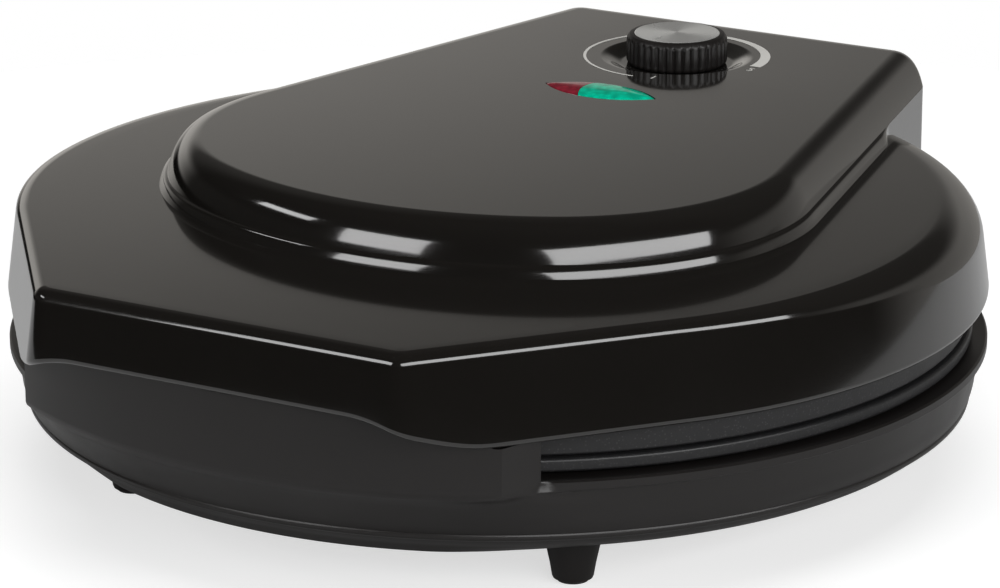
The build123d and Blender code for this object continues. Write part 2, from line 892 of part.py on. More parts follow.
with BuildPart() as lid_body:
    # Outer form of the lid: a drafted disc with a prow
    with BuildSketch(level(lid_edge)):
        draw_prow(lid_radius, prow_half_width, front_reach)
    extrude(amount=lid_top - lid_edge, taper=lid_draft)
    prow_edges = lid_body.edges().filter_by(lambda edge: edge.center().Y < disc_y - lid_radius)
    fillet(prow_edges.filter_by(lambda edge: abs(edge.center().X) > prow_half_width / 2), prow_corner)
    fillet(lid_body.edges().group_by(Axis.Z)[-1], lid_top_round)
    fillet(lid_body.edges().group_by(Axis.Z)[0], lid_edge_round)

with BuildPart() as lid_shell:
    add(lid_body.part)
    # Hollow of the lid
    with BuildSketch(level(lid_edge)):
        draw_prow(lid_radius - lid_wall, prow_half_width - lid_wall, front_reach - lid_wall)
    extrude(amount=lid_roof - lid_edge, taper=lid_draft, mode=Mode.SUBTRACT)
    # Finger scoop: the edge arches up under the prow
    with BuildSketch(front_view):
        with BuildLine():
            Spline(
                (-scoop_outer, lid_edge),
                (-scoop_middle, lid_edge + scoop_height - scoop_drop),
                (-scoop_inner, lid_edge + scoop_height),
                tangents=[(1, 0), (1, 0)],
            )
            Line((-scoop_inner, lid_edge + scoop_height), (scoop_inner, lid_edge + scoop_height))
            Spline(
                (scoop_inner, lid_edge + scoop_height),
                (scoop_middle, lid_edge + scoop_height - scoop_drop),
                (scoop_outer, lid_edge),
                tangents=[(1, 0), (1, 0)],
            )
            Polyline(
                (scoop_outer, lid_edge),
                (scoop_outer, lid_edge - scoop_height),
                (-scoop_outer, lid_edge - scoop_height),
                (-scoop_outer, lid_edge),
            )
        make_face()
    extrude(amount=2 * front_reach, mode=Mode.SUBTRACT)
    # Roof opening for the thermostat
    with BuildSketch(level(lid_roof)):
        with Locations((0, knob_y)):
            RectangleRounded(roof_opening_width, roof_opening_length, prow_corner)
        with Locations(*fix_places):
            Circle(big_shank + hole_gap)
        with Locations(*cover_boss_places):
            Circle(small_shank + hole_gap)
    extrude(amount=lid_wall, mode=Mode.SUBTRACT)
    add(lid_ears.part)
lid_shell.part.label = "lid_shell"
export_step(lid_shell.part, "parts/lid_shell.step")

# Upper plate group; the plate also takes the screws of the thermostat's bracket
bracket_bolts = [(-bracket_bolt_x, knob_y), (bracket_bolt_x, knob_y)]
upper_casting = cooking_plate(upper_face, upper_dish_depth, 1, upper_rim_radius, upper_rim_height)
with BuildPart() as upper_plate:
    add(upper_casting.part)
    with BuildSketch(level(upper_back)):
        with Locations(*bracket_bolts):
            Circle(small_shank + snug_gap)
    extrude(amount=-plate_thickness / 2, mode=Mode.SUBTRACT)
upper_plate.part.label = "upper_plate"
export_step(upper_plate.part, "parts/upper_plate.step")

upper_element = heating_element(upper_back, 1)
upper_element.part.label = "upper_element"
export_step(upper_element.part, "parts/upper_element.step")

upper_element_clips = element_clips(upper_back, 1)
upper_element_clips.part.label = "upper_element_clips"
export_step(upper_element_clips.part, "parts/upper_element_clips.step")

upper_clip_screws = screw_group(
    clip_bolt_places(),
    upper_back + clip_boss_height + clip_sheet,
    upper_back - plate_thickness / 3,
    small_shank,
    small_head,
)
upper_clip_screws.part.label = "upper_clip_screws"
export_step(upper_clip_screws.part, "parts/upper_clip_screws.step")

upper_reflector = heat_shield(upper_back, 1)
upper_reflector.part.label = "upper_reflector"
export_step(upper_reflector.part, "parts/upper_reflector.step")

upper_spacers = spacer_tubes(upper_back + plate_boss_height + shield_sheet, lid_roof)
upper_spacers.part.label = "upper_spacers"
export_step(upper_spacers.part, "parts/upper_spacers.step")

upper_plate_screws = screw_group(fix_places, lid_top, upper_back + plate_thickness / 2, big_shank, big_head)
upper_plate_screws.part.label = "upper_plate_screws"
export_step(upper_plate_screws.part, "parts/upper_plate_screws.step")

# Thermostat under the knob
thermostat_bottom = upper_back + bracket_sheet
with BuildPart() as thermostat_bracket:
    with BuildSketch(level(upper_back)):
        with Locations((0, knob_y)):
            RectangleRounded(bracket_length, bracket_width, clip_boss_radius)
        with Locations(*bracket_bolts):
            Circle(small_shank + hole_gap, mode=Mode.SUBTRACT)
    extrude(amount=bracket_sheet)
thermostat_bracket.part.label = "thermostat_bracket"
export_step(thermostat_bracket.part, "parts/thermostat_bracket.step")

bracket_screws = screw_group(
    bracket_bolts,
    thermostat_bottom,
    upper_back - plate_thickness / 3,
    small_shank,
    small_head,
)
bracket_screws.part.label = "bracket_screws"
export_step(bracket_screws.part, "parts/bracket_screws.step")

thermostat_top = thermostat_bottom + thermostat_height
neck_top = thermostat_top + neck_height
with BuildPart() as thermostat:
    with BuildSketch(level(thermostat_bottom)):
        with Locations((0, knob_y)):
            Circle(thermostat_radius)
    extrude(amount=thermostat_height)
    chamfer(thermostat.edges().group_by(Axis.Z)[-1], clip_sheet)
    with BuildSketch(level(thermostat_top)):
        with Locations((0, knob_y)):
            Circle(neck_radius)
    extrude(amount=neck_height)
    with BuildSketch(level(neck_top)):
        with Locations((0, knob_y)):
            Circle(spindle_radius + running_gap)
    extrude(amount=-neck_height - spindle_tail - hole_gap, mode=Mode.SUBTRACT)
thermostat.part.label = "thermostat"
export_step(thermostat.part, "parts/thermostat.step")

# Thermal fuse and its strap on the upper plate
fuse_centre = upper_back + fuse_radius + seat_gap
with BuildPart() as thermal_fuse:
    with BuildSketch(side_plane(fuse_x)):
        with Locations((fuse_y, fuse_centre)):
            Circle(fuse_radius)
    extrude(amount=fuse_length / 2, both=True)
    with BuildSketch(side_plane(fuse_x)):
        with Locations((fuse_y, fuse_centre)):
            Circle(pin_radius / 2)
    extrude(amount=fuse_length, both=True)
thermal_fuse.part.label = "thermal_fuse"
export_step(thermal_fuse.part, "parts/thermal_fuse.step")

with BuildPart() as fuse_clip:
    with BuildSketch(side_plane(fuse_x)):
        with Locations((fuse_y, upper_back + fuse_clip_sheet / 2)):
            Rectangle(2 * fuse_clip_reach, fuse_clip_sheet)
        with Locations((fuse_y, fuse_centre)):
            Circle(fuse_radius + seat_gap + fuse_clip_sheet)
        with Locations((fuse_y, upper_back - fuse_clip_reach)):
            Rectangle(2 * fuse_clip_reach, 2 * fuse_clip_reach, mode=Mode.SUBTRACT)
        with Locations((fuse_y, fuse_centre)):
            Circle(fuse_radius + seat_gap, mode=Mode.SUBTRACT)
        with Locations((fuse_y, upper_back)):
            Rectangle(2 * fuse_radius, 2 * fuse_radius, mode=Mode.SUBTRACT)
    extrude(amount=fuse_clip_width / 2, both=True)
fuse_clip.part.label = "fuse_clip"
export_step(fuse_clip.part, "parts/fuse_clip.step")

ledge_top = lid_top + ledge_height
with BuildPart() as cover_ledge:
    # Rounded ledge round the foot of the dome, as far as the lid's edge
    with BuildSketch(level(lid_top)):
        draw_cover(-ledge_width)
        Circle(lid_radius - ledge_end_inset, mode=Mode.INTERSECT)
    extrude(amount=ledge_height)
    fillet(cover_ledge.edges().group_by(Axis.Z)[-1], ledge_round)

with BuildPart() as control_cover:
    # Skirt over the hinge
    with BuildSketch(level(skirt_bottom)) as skirt_foot:
        draw_cover(0)
        fillet(skirt_foot.vertices().group_by(Axis.Y)[-1], cover_corner)
    extrude(amount=lid_top - skirt_bottom)
    # Dome that carries the knob and the lens
    with BuildSketch(level(lid_top)) as dome_foot:
        draw_cover(0)
        fillet(dome_foot.vertices().group_by(Axis.Y)[-1], cover_corner)
    extrude(amount=cover_top - lid_top, taper=cover_draft)
    fillet(control_cover.edges().group_by(Axis.Z)[-1], cover_top_round)
    add(cover_ledge.part)
    # Hollow of the dome and of the skirt
    with BuildSketch(level(lid_top)) as dome_hollow:
        draw_cover(2 * cover_wall)
        fillet(dome_hollow.vertices().group_by(Axis.Y)[-1], cover_corner - cover_wall)
    extrude(amount=cover_roof - lid_top, mode=Mode.SUBTRACT)
    with BuildSketch(level(skirt_bottom)) as skirt_hollow:
        draw_cover(cover_wall)
        fillet(skirt_hollow.vertices().group_by(Axis.Y)[-1], cover_corner - cover_wall)
    extrude(amount=lid_top - skirt_bottom, mode=Mode.SUBTRACT)
    # The lid's own body, which the cover hugs
    add(lid_body.part, mode=Mode.SUBTRACT)
    with BuildSketch(level(skirt_bottom)):
        Circle(lid_radius)
    extrude(amount=lid_edge + lid_edge_round - skirt_bottom, mode=Mode.SUBTRACT)
    # Bosses for the cover's screws, the lamp holder and the knob's seat
    with BuildSketch(level(cover_roof)):
        with Locations(*cover_boss_places):
            Circle(cover_boss_radius)
    extrude(amount=lid_top - cover_roof)
    with BuildSketch(level(cover_roof)):
        with Locations((-holder_bolt_x, lens_y), (holder_bolt_x, lens_y)):
            Circle(cover_boss_radius)
    extrude(amount=holder_bottom + holder_floor - cover_roof)
    with BuildSketch(level(cover_roof)):
        with Locations((0, knob_y)):
            Circle(dish_boss_radius)
    extrude(amount=-cover_wall)
    # Shallow dish round the knob, shaft hole and lens slot
    dish_floor_height = cover_top - dish_ring_depth
    with BuildSketch(Plane(origin=(0, disc_y + knob_y, 0), x_dir=(1, 0, 0), z_dir=(0, -1, 0))):
        with BuildLine():
            Polyline(
                (dish_ring_radius, cover_top),
                (dish_ring_radius, cover_top + dish_ring_depth),
                (0, cover_top + dish_ring_depth),
                (0, dish_floor_height),
                (dish_floor_radius, dish_floor_height),
            )
            Spline(
                (dish_floor_radius, dish_floor_height),
                (dish_ring_radius, cover_top),
                tangents=[(1, 0), (1, 0)],
            )
        make_face()
    revolve(axis=Axis((0, disc_y + knob_y, 0), (0, 0, 1)), mode=Mode.SUBTRACT)
    with BuildSketch(level(cover_top)):
        with Locations((0, knob_y)):
            Circle(spindle_radius + 2 * hole_gap)
    extrude(amount=-2 * cover_wall - dish_ring_depth, mode=Mode.SUBTRACT)
    with BuildSketch(level(cover_top)):
        with Locations((0, lens_y)):
            add(eye_shape(lens_half_length, lens_half_width))
    extrude(amount=-cover_wall, mode=Mode.SUBTRACT)
    # Pilot holes
    with BuildSketch(level(lid_top)):
        with Locations(*cover_boss_places):
            Circle(small_shank + snug_gap)
    extrude(amount=cover_roof - lid_top - cover_wall, mode=Mode.SUBTRACT)
    with BuildSketch(level(holder_bottom)):
        with Locations((-holder_bolt_x, lens_y), (holder_bolt_x, lens_y)):
            Circle(small_shank + snug_gap)
    extrude(amount=cover_roof - holder_bottom - cover_wall, mode=Mode.SUBTRACT)
control_cover.part.label = "control_cover"
export_step(control_cover.part, "parts/control_cover.step")

cover_screws = screw_group(
    cover_boss_places,
    lid_roof,
    cover_roof - 2 * cover_wall,
    small_shank,
    small_head,
)
cover_screws.part.label = "cover_screws"
export_step(cover_screws.part, "parts/cover_screws.step")

# Two-colour lens: the green half has a round end that the red half fits
for name, is_green in (("red_lens", False), ("green_lens", True)):
    with BuildPart() as lens:
        with BuildSketch(level(cover_roof - seat_gap - lens_flange_thickness)):
            with Locations((0, lens_y)):
                add(eye_shape(lens_half_length + lens_flange, lens_half_width + lens_flange))
        extrude(amount=lens_flange_thickness)
        with BuildSketch(level(cover_roof - seat_gap)):
            with Locations((0, lens_y)):
                add(eye_shape(lens_half_length - lens_gap, lens_half_width - lens_gap))
        extrude(amount=cover_top - lens_recess - cover_roof + seat_gap)
        split_radius = lens_split_radius if is_green else lens_split_radius + seat_gap
        with BuildSketch(level(cover_top)):
            with Locations((lens_split_radius - lens_split_reach, lens_y)):
                Circle(split_radius)
            with Locations((lens_split_radius - lens_split_reach + lens_half_length, lens_y)):
                Rectangle(2 * lens_half_length, 4 * lens_half_width)
        cut_mode = Mode.INTERSECT if is_green else Mode.SUBTRACT
        extrude(amount=-4 * cover_wall, mode=cut_mode)
    lens.part.label = name
    export_step(lens.part, f"parts/{name}.step")

holder_top = cover_roof - 2 * seat_gap - lens_flange_thickness
with BuildPart() as lamp_holder:
    with BuildSketch(level(holder_bottom)):
        with Locations((0, lens_y)):
            Rectangle(holder_length, holder_width)
    extrude(amount=holder_top - holder_bottom)
    with BuildSketch(level(holder_bottom)):
        with Locations((0, lens_y)):
            Rectangle(2 * (holder_bolt_x + holder_ear_width / 2), holder_ear_width)
    extrude(amount=holder_floor)
    with BuildSketch(level(holder_bottom + holder_floor)):
        with Locations((0, lens_y)):
            Rectangle(holder_length - 2 * holder_wall, holder_width - 2 * holder_wall)
    extrude(amount=holder_top - holder_bottom - holder_floor, mode=Mode.SUBTRACT)
    with BuildSketch(level(holder_bottom)):
        with Locations((-holder_bolt_x, lens_y), (holder_bolt_x, lens_y)):
            Circle(small_shank + hole_gap)
    extrude(amount=holder_floor, mode=Mode.SUBTRACT)
    with BuildSketch(level(holder_bottom + holder_floor)):
        with Locations((-holder_bolt_x, lens_y), (holder_bolt_x, lens_y)):
            Circle(cover_boss_radius + hole_gap)
    extrude(amount=holder_top - holder_bottom - holder_floor, mode=Mode.SUBTRACT)
lamp_holder.part.label = "lamp_holder"
export_step(lamp_holder.part, "parts/lamp_holder.step")

lamp_holder_screws = screw_group(
    [(-holder_bolt_x, lens_y), (holder_bolt_x, lens_y)],
    holder_bottom,
    cover_roof - 2 * cover_wall,
    small_shank,
    small_head,
)
lamp_holder_screws.part.label = "lamp_holder_screws"
export_step(lamp_holder_screws.part, "parts/lamp_holder_screws.step")

lamp_height = holder_bottom + holder_floor + lamp_radius + seat_gap
for name, lamp_middle in (("red_lamp", -lamp_x), ("green_lamp", lamp_x)):
    with BuildPart() as lamp:
        with BuildSketch(side_plane(lamp_middle)):
            with Locations((lens_y, lamp_height)):
                Circle(lamp_radius)
        extrude(amount=lamp_length / 2, both=True)
        fillet(lamp.edges(), lamp_radius / 2)
    lamp.part.label = name
    export_step(lamp.part, f"parts/{name}.step")

# Knob, its metal cap and the spindle that turns with it
knob_bottom = cover_top - dish_ring_depth + knob_gap
with BuildPart() as thermostat_spindle:
    with BuildSketch(level(thermostat_top - spindle_tail)):
        with Locations((0, knob_y)):
            Circle(spindle_radius)
    extrude(amount=knob_bore_top - snug_gap - thermostat_top + spindle_tail)
    with BuildSketch(level(knob_bottom)):
        with Locations((0, knob_y + spindle_flat + spindle_radius)):
            Rectangle(2 * spindle_radius, 2 * spindle_radius)
    extrude(amount=knob_top - knob_bottom, mode=Mode.SUBTRACT)
thermostat_spindle.part.label = "thermostat_spindle"
export_step(thermostat_spindle.part, "parts/thermostat_spindle.step")

with BuildPart() as control_knob:
    with BuildSketch(level(knob_bottom)):
        with Locations((0, knob_y)):
            Circle(knob_radius)
    extrude(amount=knob_top - knob_bottom)
    chamfer(control_knob.edges().group_by(Axis.Z)[-1], knob_fin_groove)
    with BuildSketch(level(knob_bottom)):
        with Locations((0, knob_y)):
            with PolarLocations(knob_radius, knob_fin_count):
                Circle(knob_fin_groove)
    extrude(amount=knob_top - knob_fin_top - knob_bottom, mode=Mode.SUBTRACT)
    with BuildSketch(level(knob_top)):
        with Locations((0, knob_y)):
            Circle(cap_radius + snug_gap)
    extrude(amount=cap_proud - cap_thickness, mode=Mode.SUBTRACT)
    with BuildSketch(level(knob_bottom)):
        with Locations((0, knob_y)):
            Circle(spindle_radius + snug_gap)
        with Locations((0, knob_y + spindle_flat + snug_gap + spindle_radius)):
            Rectangle(3 * spindle_radius, 2 * spindle_radius, mode=Mode.SUBTRACT)
    extrude(amount=knob_bore_top - knob_bottom, mode=Mode.SUBTRACT)
control_knob.part.label = "control_knob"
export_step(control_knob.part, "parts/control_knob.step")

with BuildPart() as knob_cap:
    with BuildSketch(level(knob_top + cap_proud)):
        with Locations((0, knob_y)):
            Circle(cap_radius)
    extrude(amount=-cap_thickness)
    pointer_turn = radians(pointer_angle - 90)
    pointer_reach = pointer_inner + pointer_length / 2
    with BuildSketch(level(knob_top + cap_proud)):
        with Locations(Location(
            (pointer_reach * cos(pointer_turn), knob_y + pointer_reach * sin(pointer_turn)),
            pointer_angle,
        )):
            Rectangle(pointer_width, pointer_length)
    extrude(amount=-cap_thickness, mode=Mode.SUBTRACT)
knob_cap.part.label = "knob_cap"
export_step(knob_cap.part, "parts/knob_cap.step")
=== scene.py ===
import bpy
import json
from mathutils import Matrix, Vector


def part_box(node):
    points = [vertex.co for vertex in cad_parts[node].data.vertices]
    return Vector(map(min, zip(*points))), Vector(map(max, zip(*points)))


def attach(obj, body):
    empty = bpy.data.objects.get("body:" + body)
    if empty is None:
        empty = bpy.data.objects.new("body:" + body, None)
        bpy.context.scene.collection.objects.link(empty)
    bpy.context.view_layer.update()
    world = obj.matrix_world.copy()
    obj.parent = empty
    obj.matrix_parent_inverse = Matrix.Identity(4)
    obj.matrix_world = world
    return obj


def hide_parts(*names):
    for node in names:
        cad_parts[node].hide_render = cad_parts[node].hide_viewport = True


bl_info = {
    "name": "Pizza maker builder",
    "version": (1, 0, 0),
    "blender": (4, 5, 0),
    "location": "3D View > Sidebar > Pizza maker",
    "description": "Builds the shells, plates, knob, lens, finishes and studio of a round pizza maker",
    "category": "Add Mesh",
}

import json
import math

import bmesh
import bpy
from bpy.props import FloatProperty, FloatVectorProperty, IntProperty, PointerProperty
from bpy.types import Operator, Panel, PropertyGroup
from mathutils import Matrix, Vector, geometry

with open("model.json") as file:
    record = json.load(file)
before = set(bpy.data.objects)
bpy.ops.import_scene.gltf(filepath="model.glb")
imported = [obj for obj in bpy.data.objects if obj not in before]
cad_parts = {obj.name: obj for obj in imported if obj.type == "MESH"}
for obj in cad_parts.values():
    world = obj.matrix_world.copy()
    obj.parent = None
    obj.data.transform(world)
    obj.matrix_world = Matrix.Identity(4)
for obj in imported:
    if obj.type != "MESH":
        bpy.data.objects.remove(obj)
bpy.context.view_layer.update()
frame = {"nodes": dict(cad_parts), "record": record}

plate_low, plate_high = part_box("lower_plate")
knob_low, knob_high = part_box("control_knob")

# Pieces are drawn about the middle of the round plates, with their front towards -Y
DISC_Y = (plate_low[1] + plate_high[1]) / 2
KNOB_Y = (knob_low[1] + knob_high[1]) / 2 - DISC_Y
MIDDLE = Vector((0, 0))
KNOB = Vector((0, KNOB_Y))
FRONT = -math.pi / 2
FULL_TURN = 2 * math.pi

# The hinge line as (reach, height), and the round eyes on it
HINGE = Vector((0.171, 0.050))
HINGE_EYE_RADIUS = 0.007
HINGE_EYE_POINTS = 28

# Points of the round pieces
KNOB_RING = 96
PLATE_RING = 256
FOOT_RING = 48
POST_RING = 24


def length(name, description, default):
    """Setting for a size in metres."""
    return FloatProperty(name=name, description=description, default=default, unit="LENGTH")


def angle(name, description, degrees):
    """Setting for an angle, whose default is given in degrees."""
    return FloatProperty(name=name, description=description, default=math.radians(degrees), subtype="ANGLE")


def number(name, description, default):
    """Setting for a plain number."""
    return FloatProperty(name=name, description=description, default=default)


def tone(name, description, default):
    """Setting for a colour."""
    return FloatVectorProperty(
        name=name, description=description, default=default, size=3, subtype="COLOR", min=0, max=1
    )


class CookerShape(PropertyGroup):
    """Sizes of the shells, measured from the middle of the round plates."""

    lid_radius: length("Lid radius", "Radius of the lid at its lower edge", 0.1652)
    lid_edge: length("Lid edge", "Height of the lid's lower edge", 0.061)
    lid_top: length("Lid top", "Height of the lid's roof", 0.093)
    lid_wall: length("Lid wall", "Thickness of the lid's wall", 0.0026)
    lid_draft: angle("Lid draft", "Lean of the lid's side wall", 7.4)
    lid_lip: length("Lid lip", "Rounding of the lid's lower edge", 0.0020)
    lid_round: length("Prow edge radius", "Rounding between the lid's flat sides and its roof", 0.0045)
    lid_soft_round: length("Lid edge radius", "Rounding between the lid's round side and its roof", 0.0150)
    soft_from: angle("Soft edge start", "Angle from the front at which the lid's edge starts to soften", 48)
    soft_to: angle("Soft edge end", "Angle from the front at which the lid's edge is fully soft", 120)
    prow_reach: length("Prow reach", "Distance from the middle to the prow's face", 0.1785)
    prow_half_width: length("Prow half width", "Half the width of the prow's face", 0.0685)
    prow_turn: angle("Prow turn", "Angle from the front within which the prow's corners lie", 40.0)
    prow_corner: length("Prow corner", "Radius of the prow's upright corners", 0.0125)
    scoop_height: length("Scoop height", "How far the lid's edge arches up in front", 0.010)
    scoop_inner: length("Scoop inner end", "Distance along the edge where the scoop starts to fall", 0.050)
    scoop_outer: length("Scoop outer end", "Distance along the edge where the scoop has ended", 0.100)
    cover_front: length("Cover front", "Distance from the middle to the control cover's nose", 0.0992)
    nose_centre: length("Nose centre", "How far behind the middle the nose's arc is centred", 0.0396)
    nose_turn: angle("Nose turn", "Half the angle of the nose's arc", 29.0)
    shoulder_radius: length("Shoulder radius", "Radius of the cover's shoulders", 0.0869)
    cover_top: length("Cover top", "Height of the control cover's top", 0.1095)
    cover_lean: angle("Cover taper", "Angle at which the cover's sides close in to the rear", 12.2)
    cover_reach: length("Cover reach", "Distance from the middle to the cover's rear wall", 0.1825)
    cover_corner: length("Cover corner", "Radius of the cover's upright rear corners", 0.0130)
    cover_wall: length("Cover wall", "Thickness of the cover's wall", 0.0025)
    cover_slope: angle("Cover wall lean", "Lean of the cover's wall at its foot", 13.0)
    cover_climb: length("Cover wall climb", "How long the wall keeps that lean before it bends", 0.0065)
    cover_crown: length("Cover crown", "How far in from its foot the cover's top is flat", 0.0110)
    ledge_width: length("Ledge width", "Width of the ledge round the cover's foot", 0.0028)
    ledge_height: length("Ledge height", "Height of the ledge round the cover's foot", 0.0040)
    ledge_fade: length("Ledge end", "Distance from the middle at which the ledge has died out", 0.1500)
    skirt_bottom: length("Skirt bottom", "Height of the lower edge of the cover's rear skirt", 0.0541)
    rim_radius: length("Rim radius", "Radius of the base's rim", 0.165)
    rim_top: length("Rim top", "Height of the base's rim", 0.046)
    bowl_bottom: length("Bowl bottom", "Height of the base's underside", 0.0182)
    bowl_bend: length("Bowl bend", "Radius of the bowl's bend into its bottom", 0.016)
    bead_radius: length("Bead radius", "Radius of the bead round the bowl's bend", 0.0015)
    wall_radius: length("Front wall radius", "Radius of the base's raised front wall", 0.180)
    wall_centre: length("Front wall centre", "How far behind the middle the wall is centred", 0.006)
    wall_root: angle("Front wall root", "Angle from the front at which the wall meets the rim", 34.6)
    wall_half_width: length("Front wall half width", "Half the width of the base's front wall", 0.0885)
    wall_crest: length("Front wall crest", "Height of the front wall along its middle", 0.0705)
    wall_shoulder: length("Front wall shoulder", "Height of the front wall at its ends", 0.0603)
    wall_thickness: length("Front wall thickness", "Thickness of the front wall", 0.0025)
    bulge_foot: length("Bulge foot", "Reach of the front bulge where it runs into the bowl", 0.157)
    bulge_drop: length("Bulge drop", "Depth of the front bulge below the rim", 0.022)
    knob_radius: length("Knob radius", "Radius of the knob over its fins", 0.0180)
    flute_depth: length("Flute depth", "Depth of the flutes between the knob's fins", 0.0009)
    lens_place: length("Lens place", "How far behind the middle the lens lies", 0.0705)
    lens_half_length: length("Lens half length", "Half the length of the indicator lens", 0.0217)
    lens_half_width: length("Lens half width", "Half the width of the indicator lens", 0.0092)
    lens_gap: length("Lens gap", "Gap between the lens and its slot", 0.0003)
    dial_radius: length("Dial radius", "Outer radius of the printed arc", 0.0334)
    spacing: length("Spacing", "Distance between the points of an outline", 0.0022)


class CookerFinish(PropertyGroup):
    """Colours of the main finishes."""

    gloss_black: tone("Gloss black", "Colour of the lid and the control cover", (0.010, 0.009, 0.008))
    satin_black: tone("Satin black", "Colour of the base and its feet", (0.011, 0.0095, 0.009))
    knob_black: tone("Knob black", "Colour of the knob's grip", (0.010, 0.0085, 0.008))
    coating: tone("Plate coating", "Colour of the plates' non-stick coating", (0.016, 0.016, 0.017))
    speck: tone("Plate specks", "Colour of the specks in the coating", (0.045, 0.043, 0.045))
    # The two disc colours are a painted shade and a painted highlight: the darker and paler fans painted on
    # the knob's disc in place of its reflections
    disc_painted_shade: tone("Disc shade", "Colour of the darker fans on the knob's disc", (0.36, 0.36, 0.35))
    disc_painted_highlight: tone("Disc shine", "Colour of the paler fans on the knob's disc", (0.66, 0.66, 0.64))
    print_grey: tone("Dial print", "Colour of the printed dial marks", (0.62, 0.61, 0.58))
    lens_red: tone("Red lens", "Colour of the red half of the indicator lens", (0.16, 0.010, 0.020))
    lens_green: tone("Green lens", "Colour of the green half of the indicator lens", (0.0, 0.36, 0.22))


class CookerStudio(PropertyGroup):
    """Camera and light."""

    azimuth: angle("Azimuth", "Angle of the camera round the object", 30.1)
    elevation: angle("Elevation", "Angle of the camera above the table", 17.56)
    distance: length("Distance", "Distance of the camera from the object's middle", 1.6)
    target_height: length("Target height", "Height that the camera and the lamps look at", 0.05)
    tilt: angle("Tilt", "How far the camera looks past the object's middle", -0.16)
    shift: number("Shift", "Sideways shift of the picture as a share of its width", 0.0015)
    lens: number("Lens", "Focal length in millimetres on a 36 mm wide film", 169.98)
    floor_radius: length("Floor radius", "Radius of the floor", 0.55)
    floor_tone: tone("Floor", "Colour of the floor", (0.55, 0.55, 0.55))
    floor_lift: number("Floor lift", "Light added to the floor where the camera sees it", 0.64)
    window_distance: length("Window distance", "Distance of the soft lamps from the object", 1.8)
    window_level: number("Window level", "Brightness of the soft lamps", 5.0)
    overhead_power: number("Overhead power", "Power of the overhead lamp in watts", 20.0)
    overhead_size: length("Overhead size", "Width of the overhead lamp", 1.6)
    overhead_rise: length("Overhead rise", "Height of the overhead lamp above the target", 1.6)
    horizon_level: number("Horizon level", "Brightness of the backdrop behind the object", 0.45)
    shade_level: number("Shade level", "Brightness of the rest of the room", 0.04)
    room_tint: tone("Room tint", "Colour of the light that the room gives back", (1.0, 0.96, 0.90))


def around(turn):
    """Flat direction at an angle from +X."""
    return Vector((math.cos(turn), math.sin(turn)))


def seen_from(azimuth, elevation):
    """Direction to a viewer at an angle round the object from its front and an angle above the table."""
    level = math.cos(elevation)
    return Vector((math.sin(azimuth) * level, -math.cos(azimuth) * level, math.sin(elevation)))


def smooth_step(low, high, value):
    """0 below low, 1 above high, and a soft rise between."""
    part = min(max((value - low) / (high - low), 0), 1)
    return part * part * (3 - 2 * part)


def arc_run(centre, radius, start, end, spacing):
    """Points and outward directions along an arc, anticlockwise, its last point left out."""
    steps = max(3, math.ceil(abs(end - start) * radius / spacing))
    spokes = [around(start + (end - start) * step / steps) for step in range(steps)]
    return [(centre + radius * outward, outward) for outward in spokes]


def straight_run(start, end, spacing):
    """Points and outward directions along a straight side, its last point left out."""
    steps = max(1, math.ceil((end - start).length / spacing))
    along = (end - start).normalized()
    outward = Vector((along.y, -along.x))
    return [(start.lerp(end, step / steps), outward) for step in range(steps)]


def hub_outline(centre, count):
    """Outline shrunk to one spot, from which a row's inset of minus its radius draws a circle."""
    return [(centre, around(FULL_TURN * index / count)) for index in range(count)]


def corner_centre(corner, first, second, radius):
    """Middle of a round that touches two sides, given by their outward directions, at their corner."""
    return corner - radius * (first + second) / (1 + first.dot(second))


def prow_outline(shape):
    """The lid from above: a circle with a flat facet in front, joined to it by tangent sides."""
    width, reach, radius = shape.prow_half_width, shape.prow_reach, shape.lid_radius
    corner, gap = shape.prow_corner, shape.spacing
    turn = math.atan2(width, reach) + math.acos(radius / math.hypot(width, reach))
    side = Vector((math.sin(turn), -math.cos(turn)))
    mirrored = Vector((-side.x, side.y))
    ahead = Vector((0, -1))
    right = corner_centre(Vector((width, -reach)), ahead, side, corner)
    left = corner_centre(Vector((-width, -reach)), ahead, mirrored, corner)
    run = arc_run(MIDDLE, radius, FRONT + turn, FRONT + FULL_TURN - turn, gap)
    run += straight_run(radius * mirrored, left + corner * mirrored, gap)
    run += arc_run(left, corner, FRONT + FULL_TURN - turn, FRONT + FULL_TURN, gap / 2)
    run += straight_run(left + corner * ahead, right + corner * ahead, gap)
    run += arc_run(right, corner, FRONT, FRONT + turn, gap / 2)
    run += straight_run(right + corner * side, radius * side, gap)
    return run


def cover_side(shape):
    """Start and outward direction of the cover's right side, and the middle of the shoulder before it."""
    turn = shape.nose_turn
    step = shape.cover_front + shape.nose_centre - shape.shoulder_radius
    shoulder = Vector((step * math.sin(turn), shape.nose_centre - step * math.cos(turn)))
    side = around(shape.cover_lean)
    return shoulder + shape.shoulder_radius * side, side, shoulder


def cover_outline(shape):
    """The control cover from above: a wide nose, tighter shoulders, sides that close in to a flat rear."""
    lean, corner, gap, turn = shape.cover_lean, shape.cover_corner, shape.spacing, shape.nose_turn
    touch, side, shoulder = cover_side(shape)
    behind = Vector((0, 1))
    nose = Vector((0, shape.nose_centre))
    nose_radius = shape.cover_front + shape.nose_centre
    corner_x = touch.x - (shape.cover_reach - touch.y) * math.tan(lean)
    right = corner_centre(Vector((corner_x, shape.cover_reach)), side, behind, corner)
    flip = Matrix(((-1, 0), (0, 1)))
    quarter = math.pi / 2
    run = arc_run(nose, nose_radius, FRONT - turn, FRONT + turn, gap)
    run += arc_run(shoulder, shape.shoulder_radius, FRONT + turn, lean, gap)
    run += straight_run(touch, right + corner * side, gap)
    run += arc_run(right, corner, lean, quarter, gap / 2)
    run += straight_run(right + corner * behind, flip @ right + corner * behind, gap)
    run += arc_run(flip @ right, corner, quarter, math.pi - lean, gap / 2)
    run += straight_run(flip @ (right + corner * side), flip @ touch, gap)
    run += arc_run(flip @ shoulder, shape.shoulder_radius, math.pi - lean, FRONT + FULL_TURN - turn, gap)
    return run


